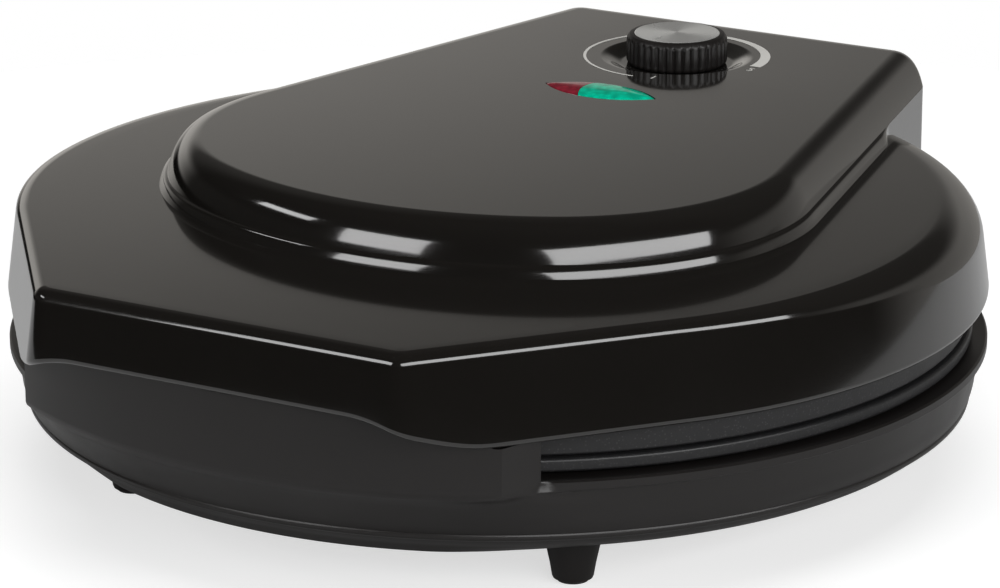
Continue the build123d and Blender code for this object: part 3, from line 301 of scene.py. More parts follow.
def rounded_profile(corners, step):
    """Profile of (inset, height) points in which each inner corner (inset, height, radius) is rounded."""
    rows = [Vector(corners[0][:2])]
    for before, here, after in zip(corners, corners[1:], corners[2:]):
        point, radius = Vector(here[:2]), here[2]
        if not radius:
            rows.append(point)
            continue
        back = (Vector(before[:2]) - point).normalized()
        ahead = (Vector(after[:2]) - point).normalized()
        half = back.angle(ahead) / 2
        reach = radius / math.tan(half)
        centre = point + (back + ahead).normalized() * radius / math.sin(half)
        spoke = point + back * reach - centre
        turn = math.pi - 2 * half
        side = 1 if back.x * ahead.y - back.y * ahead.x < 0 else -1
        steps = max(2, math.ceil(turn / step))
        for index in range(steps + 1):
            rows.append(centre + Matrix.Rotation(side * turn * index / steps, 2) @ spoke)
    rows.append(Vector(corners[-1][:2]))
    return rows


def curved_rows(start, leave, arrive, end, steps):
    """Rows of (inset, height) along a smooth curve that leaves and arrives by way of two handles."""
    return geometry.interpolate_bezier(Vector(start), Vector(leave), Vector(arrive), Vector(end), steps)


def dense_rows(rows, gap):
    """The same rows with more put in wherever two are further apart than the gap."""
    dense = []
    for here, after in zip(rows, rows[1:]):
        steps = max(1, math.ceil((after - here).length / gap))
        dense += [here.lerp(after, step / steps) for step in range(steps)]
    return dense + [rows[-1]]


def circle_points(centre, radius, count):
    """Points of a circle."""
    turn = FULL_TURN / count
    return [
        (centre[0] + radius * math.cos(turn * index), centre[1] + radius * math.sin(turn * index))
        for index in range(count)
    ]


def rounded_box_points(centre, half_x, half_y, radius, steps=6):
    """Points of a rectangle with rounded corners."""
    points = []
    for quarter, (sign_x, sign_y) in enumerate(((1, 1), (-1, 1), (-1, -1), (1, -1))):
        for step in range(steps + 1):
            turn = math.pi / 2 * (quarter + step / steps)
            points.append((
                centre[0] + sign_x * (half_x - radius) + radius * math.cos(turn),
                centre[1] + sign_y * (half_y - radius) + radius * math.sin(turn),
            ))
    return points


def eye_points(half_length, half_width, count=24):
    """Points of an eye shape: where two equal circles overlap."""
    radius = (half_length**2 + half_width**2) / (2 * half_width)
    reach = math.asin(half_length / radius)
    points = []
    for side in (-1, 1):
        for step in range(count):
            turn = -reach + 2 * reach * step / count
            height = radius * math.cos(turn) - radius + half_width
            points.append((-side * radius * math.sin(turn), side * height))
    return points


def of_kind(items, kind):
    """Those items of an operator's result that are of one kind."""
    return [item for item in items if isinstance(item, kind)]


def new_ring(bm, points, height):
    """Closed ring of edges at flat points, to extrude from or to edge a hole."""
    ring = bmesh.ops.create_circle(bm, segments=len(points), radius=1.0, cap_ends=False)["verts"]
    move_ring(ring, points, height)
    return ring


def move_ring(ring, points, height):
    """Moves a ring to flat points at a height."""
    for vert, point in zip(ring, points):
        vert.co = (point[0], point[1], height)


def ring_edges(bm, ring):
    """Edges of a closed ring."""
    return [bm.edges.get((ring[index], ring[index - 1])) for index in range(len(ring))]


def next_ring(bm, ring):
    """Extrudes a ring's edges and gives the new ring in the same order."""
    made = bmesh.ops.extrude_edge_only(bm, edges=ring_edges(bm, ring))
    fresh = set(of_kind(made["geom"], bmesh.types.BMVert))
    return [
        next(edge.other_vert(vert) for edge in vert.link_edges if edge.other_vert(vert) in fresh)
        for vert in ring
    ]


def ring_to(bm, ring, points, height):
    """Extrudes a ring to flat points at a height."""
    ring = next_ring(bm, ring)
    move_ring(ring, points, height)
    return ring


def ring_down(bm, ring, height):
    """Extrudes a ring straight to a height."""
    ring = next_ring(bm, ring)
    for vert in ring:
        vert.co.z = height
    return ring


def place_ring(ring, outline, inset, height):
    """Moves a ring to its outline, set in by a distance, which may like the height be a list."""
    insets = inset if isinstance(inset, list) else [inset] * len(ring)
    heights = height if isinstance(height, list) else [height] * len(ring)
    for vert, (point, outward), inward, level in zip(ring, outline, insets, heights):
        spot = point - inward * outward
        vert.co = (spot.x, spot.y, level)


def loft_rows(bm, outline, rows):
    """Skin through rows of (inset, height) round one outline. Gives its first and last rings."""
    start = new_ring(bm, [point for point, outward in outline], 0)
    place_ring(start, outline, *rows[0])
    ring = start
    for inset, height in rows[1:]:
        ring = next_ring(bm, ring)
        place_ring(ring, outline, inset, height)
    return start, ring


def cap(bm, ring):
    """Closes a ring with a flat face."""
    bmesh.ops.contextual_create(bm, geom=ring_edges(bm, ring))


def closed_loft(bm, outline, rows):
    """Skin through rows of (inset, height) round one outline, closed at both ends."""
    for ring in loft_rows(bm, outline, rows):
        cap(bm, ring)


def fill_between(bm, *rings):
    """Flat face between a ring and the holes in it."""
    edges = [edge for ring in rings for edge in ring_edges(bm, ring)]
    bmesh.ops.triangle_fill(bm, edges=edges, use_beauty=True, use_dissolve=False)


def join_rings(bm, first, second):
    """Wall between two rings."""
    bmesh.ops.bridge_loops(bm, edges=ring_edges(bm, first) + ring_edges(bm, second))


def walled_sheet(bm, rows, thickness):
    """Open sheet through rows of points, made a wall of some thickness."""
    chain = []
    faces = []
    for row in rows:
        verts = [bm.verts.new(point) for point in row]
        for left, right, above_left, above_right in zip(chain, chain[1:], verts, verts[1:]):
            faces.append(bm.faces.new((left, right, above_right, above_left)))
        chain = verts
    bm.normal_update()
    bmesh.ops.solidify(bm, geom=faces, thickness=thickness)


def hinge_eye(bm, start, width, root):
    """Plate with a round eye on the hinge line, drawn round its root's (reach, height) points."""
    section = circle_points(HINGE, HINGE_EYE_RADIUS, HINGE_EYE_POINTS) + root
    cloud = [bm.verts.new((x, y, z)) for x in (start, start + width) for y, z in section]
    made = bmesh.ops.convex_hull(bm, input=cloud, use_existing_faces=False)
    spare = set(of_kind(made["geom_interior"] + made["geom_unused"], bmesh.types.BMVert))
    bmesh.ops.delete(bm, geom=list(spare), context="VERTS")


def linked(name, data):
    """New object in the scene for a mesh, a text, a lamp or the camera."""
    item = bpy.data.objects.new(name, data)
    bpy.context.scene.collection.objects.link(item)
    return item


def finish_piece(bm, name, body, material, sharp=40.0):
    """Turns a bmesh drawn about the plates' middle into a piece that rides on a body."""
    bmesh.ops.translate(bm, verts=bm.verts, vec=(0, DISC_Y, 0))
    bmesh.ops.recalc_face_normals(bm, faces=bm.faces)
    mesh = bpy.data.meshes.new(name)
    bm.to_mesh(mesh)
    bm.free()
    piece = linked(name, mesh)
    mesh.shade_smooth()
    mesh.set_sharp_from_angle(angle=math.radians(sharp))
    weighted = piece.modifiers.new("Even shading", "WEIGHTED_NORMAL")
    weighted.keep_sharp = True
    weighted.weight = 60
    mesh.materials.append(material)
    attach(piece, body)
    return piece


def add_node(nodes, kind, inputs=None):
    """New shader node with the values of some of its inputs."""
    node = nodes.new("ShaderNode" + kind)
    set_inputs(node, inputs or {})
    return node


def set_inputs(node, inputs):
    """Sets a node's inputs by name."""
    for name, value in inputs.items():
        node.inputs[name].default_value = value


def color_mix(nodes, first, second):
    """Mix node between two colours."""
    mix = nodes.new("ShaderNodeMix")
    mix.data_type = "RGBA"
    set_inputs(mix, {"A": (*first, 1), "B": (*second, 1)})
    return mix


def calculated(nodes, links, operation, *sources):
    """Output of a Math node on other outputs and plain numbers."""
    node = nodes.new("ShaderNodeMath")
    node.operation = operation
    for socket, source in zip(node.inputs, sources):
        if isinstance(source, (int, float)):
            socket.default_value = source
        else:
            links.new(source, socket)
    return node.outputs["Value"]


def eased(nodes, links, source, low, high, start, end):
    """Output that goes smoothly from start to end while the source goes from low to high."""
    spread = {"From Min": low, "From Max": high, "To Min": start, "To Max": end}
    node = add_node(nodes, "MapRange", spread)
    node.interpolation_type = "SMOOTHSTEP"
    links.new(source, node.inputs["Value"])
    return node.outputs["Result"]


def new_material(name):
    """Material with its nodes, its links and its Principled shader."""
    material = bpy.data.materials.new(name)
    material.use_nodes = True
    return (material, *tree_parts(material))


def tree_parts(material):
    """Nodes, links and Principled shader of a material."""
    tree = material.node_tree
    return tree.nodes, tree.links, tree.nodes["Principled BSDF"]


def grain_group():
    """Fine moulded grain: a height for bumps and a soft patchiness for roughness."""
    name = "Moulded grain"
    if name in bpy.data.node_groups:
        return bpy.data.node_groups[name]
    group = bpy.data.node_groups.new(name, "ShaderNodeTree")
    for label, default in (("Grain size", 2500.0), ("Smooth", 0.1), ("Rough", 0.2)):
        socket = group.interface.new_socket(label, in_out="INPUT", socket_type="NodeSocketFloat")
        socket.default_value = default
    for label in ("Height", "Roughness"):
        group.interface.new_socket(label, in_out="OUTPUT", socket_type="NodeSocketFloat")
    nodes, links = group.nodes, group.links
    entry = nodes.new("NodeGroupInput")
    leave = nodes.new("NodeGroupOutput")
    place = add_node(nodes, "TexCoord")
    fine = add_node(nodes, "TexNoise", {"Detail": 3.0})
    broad = add_node(nodes, "TexNoise", {"Scale": 28.0, "Detail": 4.0})
    spread = add_node(nodes, "MapRange", {"From Min": 0.35, "From Max": 0.65})
    links.new(place.outputs["Object"], fine.inputs["Vector"])
    links.new(place.outputs["Object"], broad.inputs["Vector"])
    links.new(entry.outputs["Grain size"], fine.inputs["Scale"])
    links.new(fine.outputs["Fac"], leave.inputs["Height"])
    links.new(broad.outputs["Fac"], spread.inputs["Value"])
    links.new(entry.outputs["Smooth"], spread.inputs["To Min"])
    links.new(entry.outputs["Rough"], spread.inputs["To Max"])
    links.new(spread.outputs["Result"], leave.inputs["Roughness"])
    return group


def moulded(name, color, smooth, rough, grain_size, grain_depth):
    """Moulded plastic, rubber or metal skin with fine grain and slightly patchy gloss."""
    if name in bpy.data.materials:
        return bpy.data.materials[name]
    material, nodes, links, shader = new_material(name)
    grain = nodes.new("ShaderNodeGroup")
    grain.node_tree = grain_group()
    set_inputs(grain, {"Grain size": grain_size, "Smooth": smooth, "Rough": rough})
    bump = add_node(nodes, "Bump", {"Strength": 1.0, "Distance": grain_depth})
    links.new(grain.outputs["Height"], bump.inputs["Height"])
    links.new(bump.outputs["Normal"], shader.inputs["Normal"])
    links.new(grain.outputs["Roughness"], shader.inputs["Roughness"])
    shader.inputs["Base Color"].default_value = (*color, 1)
    return material


def metal(name, color, smooth, rough, grain_size, grain_depth):
    """Bare or plated metal."""
    material = moulded(name, color, smooth, rough, grain_size, grain_depth)
    material.node_tree.nodes["Principled BSDF"].inputs["Metallic"].default_value = 1.0
    return material


def gloss_black():
    """High-gloss black of the lid and the cover."""
    color = bpy.context.scene.cooker_finish.gloss_black
    material = moulded(
        "gloss black", color, smooth=0.09, rough=0.13, grain_size=1500.0, grain_depth=0.000004
    )
    shader = material.node_tree.nodes["Principled BSDF"]
    set_inputs(shader, {"Coat Weight": 1.0, "Coat Roughness": 0.06})
    return material


def satin_black():
    """Satin black of the base."""
    color = bpy.context.scene.cooker_finish.satin_black
    return moulded("satin black", color, smooth=0.30, rough=0.38, grain_size=2200.0, grain_depth=0.00002)


def knob_black():
    """Fine matt black of the knob's grip."""
    color = bpy.context.scene.cooker_finish.knob_black
    return moulded("knob black", color, smooth=0.36, rough=0.44, grain_size=2600.0, grain_depth=0.00001)


def dial_ink():
    """Pale ink of the dial's marks."""
    color = bpy.context.scene.cooker_finish.print_grey
    return moulded("dial ink", color, smooth=0.45, rough=0.6, grain_size=3000.0, grain_depth=0.000002)


def speckled_coating():
    """Dark non-stick coating with fine pale specks."""
    name = "speckled coating"
    if name in bpy.data.materials:
        return bpy.data.materials[name]
    finish = bpy.context.scene.cooker_finish
    material = moulded(
        name, finish.coating, smooth=0.34, rough=0.46, grain_size=1300.0, grain_depth=0.00004
    )
    nodes, links, shader = tree_parts(material)
    place = add_node(nodes, "TexCoord")
    cells = add_node(nodes, "TexVoronoi", {"Scale": 900.0})
    chance = add_node(nodes, "MapRange", {"From Min": 0.10, "From Max": 0.30, "To Min": 1.0, "To Max": 0.0})
    mix = color_mix(nodes, finish.coating, finish.speck)
    links.new(place.outputs["Object"], cells.inputs["Vector"])
    links.new(cells.outputs["Distance"], chance.inputs["Value"])
    links.new(chance.outputs["Result"], mix.inputs["Factor"])
    links.new(mix.outputs["Result"], shader.inputs["Base Color"])
    return material


def spun_aluminium_painted_fans():
    """Turned aluminium with fine rings, and a painted reflection of pale and darker fans round the knob's
    middle.
    """
    name = "spun aluminium"
    if name in bpy.data.materials:
        return bpy.data.materials[name]
    finish = bpy.context.scene.cooker_finish
    fans = 2
    material = moulded(
        name, finish.disc_painted_highlight, smooth=0.26, rough=0.32, grain_size=900.0, grain_depth=0.00003
    )
    nodes, links, shader = tree_parts(material)
    shader.inputs["Metallic"].default_value = 0.45
    place = add_node(nodes, "TexCoord")
    centred = nodes.new("ShaderNodeMapping")
    centred.vector_type = "POINT"
    centred.inputs["Location"].default_value = (0, -(KNOB_Y + DISC_Y), 0)
    links.new(place.outputs["Object"], centred.inputs["Vector"])
    rings = add_node(nodes, "TexWave", {"Scale": 420.0, "Distortion": 0.6, "Detail": 2.0})
    rings.wave_type = "RINGS"
    rings.rings_direction = "Z"
    links.new(centred.outputs["Vector"], rings.inputs["Vector"])
    links.new(rings.outputs["Fac"], nodes["Bump"].inputs["Height"])
    # Painted reflection: pale and darker fans run out from the middle in the base colour, standing in for
    # the highlights of a turned disc
    sweep = nodes.new("ShaderNodeTexGradient")
    sweep.gradient_type = "RADIAL"
    links.new(centred.outputs["Vector"], sweep.inputs["Vector"])
    swing = calculated(nodes, links, "MULTIPLY", sweep.outputs["Fac"], fans * FULL_TURN)
    painted_fan_wave = calculated(nodes, links, "SINE", swing)
    painted_fan_mix = color_mix(nodes, finish.disc_painted_shade, finish.disc_painted_highlight)
    links.new(eased(nodes, links, painted_fan_wave, low=-1.0, high=1.0, start=0.0, end=1.0), painted_fan_mix.inputs["Factor"])
    links.new(painted_fan_mix.outputs["Result"], shader.inputs["Base Color"])
    return material


def clear_lens(name, color):
    """Moulded lens whose colour holds painted light: cells made brighter and darker stand in for light
    caught by its facets.
    """
    if name in bpy.data.materials:
        return bpy.data.materials[name]
    # Painted highlight and painted shade: how far the facets' colour is brightened and darkened
    facet_painted_glint, facet_painted_shade = 1.7, 0.5
    material, nodes, links, shader = new_material(name)
    set_inputs(shader, {"Roughness": 0.08, "IOR": 1.5})
    place = add_node(nodes, "TexCoord")
    facets = add_node(nodes, "TexVoronoi", {"Scale": 420.0})
    facets.feature = "SMOOTH_F1"
    painted_facet_light = color_mix(nodes, [min(1.0, part * facet_painted_glint) for part in color], [part * facet_painted_shade for part in color])
    links.new(place.outputs["Object"], facets.inputs["Vector"])
    links.new(facets.outputs["Distance"], painted_facet_light.inputs["Factor"])
    links.new(painted_facet_light.outputs["Result"], shader.inputs["Base Color"])
    return material


def lower_edge_heights(shape, outline):
    """Height of the lid's lower edge at each point of its outline, with the scoop in front."""
    count = len(outline)
    front = min(range(count), key=lambda index: (round(outline[index][0].y, 5), abs(outline[index][0].x)))
    distance = [0.0] * count
    for way in (1, -1):
        travelled = 0.0
        here = front
        for _ in range(count // 2):
            following = (here + way) % count
            travelled += (outline[following][0] - outline[here][0]).length
            distance[following] = travelled
            here = following
    rises = [1 - smooth_step(shape.scoop_inner, shape.scoop_outer, travelled) for travelled in distance]
    return [shape.lid_edge + shape.scoop_height * rise for rise in rises]


def lid_rounding(shape, turn):
    """Radius of the lid's upper edge at an angle from the front: tight on the prow, soft elsewhere."""
    tight, soft = shape.lid_round, shape.lid_soft_round
    return tight + (soft - tight) * smooth_step(shape.soft_from, shape.soft_to, turn)


def lid_edge_rows(shape, radius, depth):
    """Rows of (inset, height) over the lid's upper edge, at a depth inside its outer surface."""
    slope = math.tan(shape.lid_draft)
    roof = shape.lid_top - depth
    margin = 0.001
    low = roof - shape.lid_soft_round - margin
    inset = (roof - shape.lid_edge) * slope + depth
    flat = inset + shape.lid_soft_round
    corners = [(inset - (roof - low) * slope, low), (inset, roof, radius), (flat, roof)]
    return rounded_profile(corners, math.radians(6))


class BuildLid(Operator):
    """Builds the glossy lid shell with its prow, its finger scoop and its hinge ears"""

    bl_idname = "cooker.build_lid"
    bl_label = "Lid shell"

    def execute(self, context):
        shape = context.scene.cooker_shape
        bm = bmesh.new()
        outline = prow_outline(shape)
        edge = lower_edge_heights(shape, outline)
        slope = math.tan(shape.lid_draft)
        wall, top, lip = shape.lid_wall, shape.lid_top, shape.lid_lip
        roof = top - wall
        turns = [abs(math.atan2(point.x, -point.y)) for point, outward in outline]
        prow_limit = shape.prow_corner - 0.0003
        least_round = 0.002
        lip_steps = 4

        def drafted(height, depth=0.0):
            return (height - shape.lid_edge) * slope + depth

        def edge_rows(depth):
            profiles = []
            for turn in turns:
                radius = max(least_round, lid_rounding(shape, turn) - depth)
                profiles.append(lid_edge_rows(shape, radius, depth))
            rows = []
            for level in zip(*profiles):
                insets = [row.x for row in level]
                for index, turn in enumerate(turns):
                    if turn < shape.prow_turn:
                        insets[index] = min(insets[index], prow_limit)
                rows.append((insets, [row.y for row in level]))
            return rows

        rows = list(reversed(edge_rows(wall)))
        rows.append(([drafted(low, wall) for low in edge], list(edge)))
        for index in range(lip_steps + 1):
            turn = math.pi / 2 * index / lip_steps
            inset = lip * (1 - math.sin(turn))
            rise = lip * (1 - math.cos(turn))
            rows.append(([drafted(low + rise) + inset for low in edge], [low + rise for low in edge]))
        rows += edge_rows(0.0)
        start, end = loft_rows(bm, outline, rows)

        # Opening for the thermostat under the control cover
        opening = rounded_box_points((0, KNOB_Y), half_x=0.030, half_y=0.023, radius=0.011)
        lower_hole = new_ring(bm, opening, roof)
        upper_hole = new_ring(bm, opening, top)
        fill_between(bm, start, lower_hole)
        fill_between(bm, end, upper_hole)
        join_rings(bm, lower_hole, upper_hole)

        ear_width = 0.012
        ear_root = [(0.1582, 0.067), (0.1625, 0.067), (0.1610, 0.084), (0.1582, 0.084)]
        for ear_start in (0.028, -0.040):
            hinge_eye(bm, ear_start, ear_width, ear_root)
        piece = finish_piece(bm, "lid_skin", "lid", gloss_black(), sharp=50)
        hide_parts("lid_shell")
        return {"FINISHED"}


class BuildCover(Operator):
    """Builds the raised control cover with its ledge, knob dish and lens slot"""

    bl_idname = "cooker.build_cover"
    bl_label = "Control cover"

    def execute(self, context):
        shape = context.scene.cooker_shape
        bm = bmesh.new()
        foot, top = shape.lid_top, shape.cover_top
        crease, crown, width = foot + shape.ledge_height, shape.cover_crown, shape.ledge_width
        lining = top - shape.cover_wall
        flat, seat, bend = crown + 0.0008, 0.0040, 0.0066
        outline = cover_outline(shape)

        # The ledge dies away where the cover's sides reach the lid's edge
        fade = 0.010
        shares = [
            1 - smooth_step(shape.ledge_fade - fade, shape.ledge_fade, point.length)
            for point, outward in outline
        ]
        lip = Vector((-width + 0.00106, foot + 0.0030))
        face_handles = (-width + 0.00023, foot + 0.0010), lip - Vector((0.00051, 0.0010))
        land_handles = lip + Vector((0.00034, 0.00066)), (-0.0009, crease - 0.00005)
        ledge = curved_rows((-width, foot), *face_handles, lip, 6)
        ledge += curved_rows(lip, *land_handles, (0, crease), 7)[1:]
        climb = shape.cover_climb * Vector((math.sin(shape.cover_slope), math.cos(shape.cover_slope)))
        side_handles = (climb.x, crease + climb.y), (crown - bend, top)
        side = curved_rows((0, crease), *side_handles, (crown, top), 16)
        rows = [(seat, foot)]
        rows += [([row.x * share for share in shares], row.y) for row in ledge]
        rows += side[1:] + [(flat, top)]
        start, end = loft_rows(bm, outline, rows)

        # Top face with the knob dish, given by its (radius, depth) rows, and the lens slot
        dish_rows = [(0.0275, 0.0), (0.0265, 0.00008), (0.0250, 0.0004), (0.0235, 0.0011),
                     (0.0220, 0.0018), (0.0207, 0.00225), (0.0196, 0.0024), (0.0040, 0.0024)]
        dish_floor = top - 0.0048
        dish_rim = new_ring(bm, circle_points(KNOB, dish_rows[0][0], KNOB_RING), top)
        ring = dish_rim
        for reach, drop in dish_rows[1:]:
            ring = ring_to(bm, ring, circle_points(KNOB, reach, KNOB_RING), top - drop)
        shaft_end = ring_down(bm, ring, dish_floor)
        eye = eye_points(shape.lens_half_length + shape.lens_gap, shape.lens_half_width + shape.lens_gap)
        slot_top = new_ring(bm, [(x, y + shape.lens_place) for x, y in eye], top)
        fill_between(bm, end, dish_rim, slot_top)
        slot_low = ring_down(bm, slot_top, lining)

        # Underside
        ring = start
        inner_rows = [(0.0052, foot + 0.0012), (0.0060, lining - 0.0070), (0.0075, lining - 0.0025),
                      (0.0105, lining), (flat, lining)]
        for inset, height in inner_rows:
            ring = next_ring(bm, ring)
            place_ring(ring, outline, inset, height)
        dish_back = new_ring(bm, circle_points(KNOB, 0.0300, KNOB_RING), lining)
        fill_between(bm, ring, dish_back, slot_low)
        dish_back = ring_to(bm, dish_back, circle_points(KNOB, 0.0290, KNOB_RING), dish_floor)
        join_rings(bm, dish_back, shaft_end)
        cover = finish_piece(bm, "cover_skin", "lid", gloss_black(), sharp=50)
        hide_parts("control_cover")
        return {"FINISHED"}


class BuildSkirt(Operator):
    """Builds the skirt behind the lid that hides the hinge"""

    bl_idname = "cooker.build_skirt"
    bl_label = "Hinge skirt"

    def execute(self, context):
        shape = context.scene.cooker_shape
        bm = bmesh.new()
        radius, edge, low = shape.lid_radius, shape.lid_edge, shape.skirt_bottom
        sunk, clear, hem, step, collar = 0.0012, 0.0006, 0.0015, 0.0002, 0.070
        behind = [
            point for point, outward in cover_outline(shape) if point.y > 0 and point.length > radius + sunk
        ]
        slope = math.tan(shape.lid_draft)
        touch, side, shoulder = cover_side(shape)
        along = Vector((-side.y, side.x))
        ahead = touch.dot(along)
        crest = lid_edge_rows(shape, shape.lid_soft_round, 0.0)[:-1]
        heights = [low, low + hem, edge - step, edge, collar] + [row.y for row in crest]

        def lid_reach(height):
            if height < edge:
                return radius + clear
            if height < crest[0].y:
                return radius - (height - edge) * slope - sunk
            return radius - max(row.x for row in crest if row.y <= height) - sunk

        rows = []
        for height in heights:
            reach = math.sqrt(ahead**2 - touch.length_squared + lid_reach(height)**2)
            end = touch + along * (reach - ahead)
            points = [end] + behind + [Vector((-end.x, end.y))]
            rows.append([(point.x, point.y, height) for point in points])
        walled_sheet(bm, rows, shape.cover_wall)
        finish_piece(bm, "hinge_skirt", "lid", gloss_black(), sharp=50)
        return {"FINISHED"}


def front_wall_run(shape):
    """The base's rim from above with the arc of its front wall, and the number of points before the arc."""
    rim, root_turn, gap = shape.rim_radius, shape.wall_root, shape.spacing
    half = shape.wall_half_width
    centre = Vector((0, shape.wall_centre))
    corner = Vector((half, centre.y - math.sqrt(shape.wall_radius**2 - half**2)))
    root = Vector((rim * math.sin(root_turn), -rim * math.cos(root_turn)))
    swing = math.asin(half / shape.wall_radius)
    run = arc_run(MIDDLE, rim, FRONT + root_turn, FRONT + FULL_TURN - root_turn, gap)
    plain = len(run)
    run += straight_run(Vector((-root.x, root.y)), Vector((-corner.x, corner.y)), gap)
    run += arc_run(centre, shape.wall_radius, FRONT - swing, FRONT + swing, gap)
    run += straight_run(corner, root, gap)
    return run, plain


def bowl_rows(shape):
    """Profile of the bowl as (reach, height): the overhanging rim, the side, the bead and the bend."""
    rim, top = shape.rim_radius, shape.rim_top
    side, bend, bead = rim - 0.0020, shape.bowl_bend, shape.bead_radius
    centre = Vector((side - 0.0017 - bend, shape.bowl_bottom + bend))
    bead_sunk, bead_turn = 0.0006, math.radians(-33)
    bottom_reach = 0.120
    middle = centre + (bend - bead_sunk) * around(bead_turn)
    rows = [Vector((rim - 0.0006, top)), Vector((rim, top - 0.0006)), Vector((rim, top - 0.0030)),
            Vector((rim - 0.0004, top - 0.0035)), Vector((side, top - 0.0037))]
    rows += [centre + bend * around(math.radians(turn)) for turn in (-4, -10, -16, -22, -27)]
    rows += [middle + bead * around(math.radians(turn)) for turn in range(36, -103, -15)]
    rows += [centre + bend * around(math.radians(turn)) for turn in range(-42, -91, -8)]
    return rows + [Vector((bottom_reach, shape.bowl_bottom))]


def base_reach(shape, point, row):
    """How far the base reaches towards a point of its outline at a row of the bowl's profile."""
    drop = shape.rim_top - row.y
    turn = abs(math.atan2(point.x, -point.y))
    ahead = -shape.wall_centre * math.cos(turn)
    arc = ahead + math.sqrt(ahead**2 - shape.wall_centre**2 + shape.wall_radius**2)
    bulge = arc + (shape.bulge_foot - arc) * drop / shape.bulge_drop
    # The bulge's ends are crisp at the rim and have spread out a few millimetres below it
    spread_end, bulge_start = 0.008, 0.006
    narrow, spread = math.radians(4), math.radians(9) * smooth_step(0, spread_end, drop)
    share = 1 - smooth_step(shape.wall_root - narrow - spread, shape.wall_root + spread, turn)
    soft = row.x + share * max(0.0, bulge - row.x)
    if turn > shape.wall_root:
        return soft
    return point.length + (soft - point.length) * smooth_step(0, bulge_start, drop)


class BuildBase(Operator):
    """Builds the satin base: bowl, rim, front bulge, raised front wall and hinge lugs"""

    bl_idname = "cooker.build_base"
    bl_label = "Base shell"

    def execute(self, context):
        shape = context.scene.cooker_shape
        bm = bmesh.new()
        rim, top, bottom = shape.rim_radius, shape.rim_top, shape.bowl_bottom
        run, plain = front_wall_run(shape)

        def skin_points(row):
            return [point.normalized() * base_reach(shape, point, row) for point, outward in run]

        rows = dense_rows(bowl_rows(shape), shape.spacing)
        start = new_ring(bm, skin_points(rows[0]), rows[0].y)
        ring = start
        for row in rows[1:]:
            ring = ring_to(bm, ring, skin_points(row), row.y)
        cap(bm, ring)

        # Rim and inside. The rim's inner edge keeps its distance from the front wall
        land, lip, floor = 0.0030, top - 0.0025, bottom + 0.0025
        inside = [(land, top), (0.0112, top), (0.0112, lip), (0.0050, lip), (0.0065, bottom + 0.018),
                  (0.0120, bottom + 0.006), (0.0200, floor)]
        ring = start
        for inset, height in inside:
            points = [point.normalized() * (rim - inset) for point, outward in run]
            if inset == land:
                points[plain:] = [point - land * outward for point, outward in run[plain:]]
            ring = ring_to(bm, ring, points, height)
        cap(bm, ring)

        # Raised front wall, which falls to its shoulders near its ends
        crest, shoulder = shape.wall_crest, shape.wall_shoulder
        fall_start, fall_end = 0.078, 0.086
        levels, sunk = 7, 0.0002
        strip = [point for point, outward in run[plain:] + [run[0]]]
        falls = [1 - smooth_step(fall_start, fall_end, abs(point.x)) for point in strip]
        rises = [shoulder + (crest - shoulder) * fall - top for fall in falls]
        wall = []
        for step in range(levels + 1):
            wall.append([(point.x, point.y, top - sunk + rise * step / levels)
                         for point, rise in zip(strip, rises)])
        walled_sheet(bm, wall, shape.wall_thickness)

        lug_width = 0.016
        lug_root = [(0.149, 0.0365), (0.157, 0.0365), (0.149, 0.04125)]
        for lug_start in (0.044, -0.060):
            hinge_eye(bm, lug_start, lug_width, lug_root)
        piece = finish_piece(bm, "base_skin", "base", satin_black(), sharp=35)
        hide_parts("base_shell")
        return {"FINISHED"}


class BuildFeet(Operator):
    """Builds the four tapered feet"""

    bl_idname = "cooker.build_feet"
    bl_label = "Feet"

    def execute(self, context):
        for name in ("foot_front_left", "foot_front_right", "foot_rear_left", "foot_rear_right"):
            low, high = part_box(name)
            centre = Vector(((low[0] + high[0]) / 2, (low[1] + high[1]) / 2 - DISC_Y))
            wide = (high[0] - low[0]) / 2
            # Rows as (radius, height), from the recess of the rubber pad up to the bowl
            rows = [(0.0052, 0.0018), (0.0052, 0.0008), (0.0058, 0.0008), (0.0064, 0.0011),
                    (0.0067, 0.0018), (0.0074, 0.0060), (0.0089, 0.0130), (wide, high[2])]
            bm = bmesh.new()
            closed_loft(bm, hub_outline(centre, FOOT_RING), [(-reach, height) for reach, height in rows])
            piece = finish_piece(bm, name.replace("foot", "leg"), "base", satin_black())
            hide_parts(name)
        return {"FINISHED"}


class BuildPlates(Operator):
    """Builds the two cast cooking plates with their rounded rims"""

    bl_idname = "cooker.build_plates"
    bl_label = "Cooking plates"

    def execute(self, context):
        hub, dish_reach, brim_reach, wall = 0.0005, 0.1470, 0.1505, 0.0025
        thickness, sunk = 0.0032, 0.0002
        post_place, post_radius, post_height = 0.055, 0.006, 0.0094
        for node, body, away, dish, drop in (
            ("lower_plate", "base", -1, 0.008, 0.0045),
            ("upper_plate", "lid", 1, 0.011, 0.010),
        ):
            low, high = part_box(node)
            rim = (high[0] - low[0]) / 2
            face = high[2] if away < 0 else low[2]
            floor, edge = face + away * dish, face + away * drop
            back = face + away * (dish + thickness)
            # Corners as (radius, height, rounding), over the dish and the rim to the back
            corners = [
                (hub, floor),
                (dish_reach, floor, 0.003),
                (brim_reach, face, 0.0012),
                (rim, face, 0.0012),
                (rim, edge, 0.0010),
                (brim_reach + wall, edge, 0.0006),
                (dish_reach + wall, back, 0.002),
                (hub, back),
            ]
            rows = rounded_profile(corners, math.radians(18))
            bm = bmesh.new()
            closed_loft(bm, hub_outline(MIDDLE, PLATE_RING), [(-row.x, row.y) for row in rows])
            seat = face + away * (dish + thickness - sunk)
            for x in (-post_place, post_place):
                for y in (-post_place, post_place):
                    post = [(-post_radius, seat), (-post_radius, seat + away * post_height)]
                    closed_loft(bm, hub_outline(Vector((x, y)), POST_RING), post)
            piece = finish_piece(bm, node + "_cast", body, speckled_coating())
            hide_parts(node)
        return {"FINISHED"}


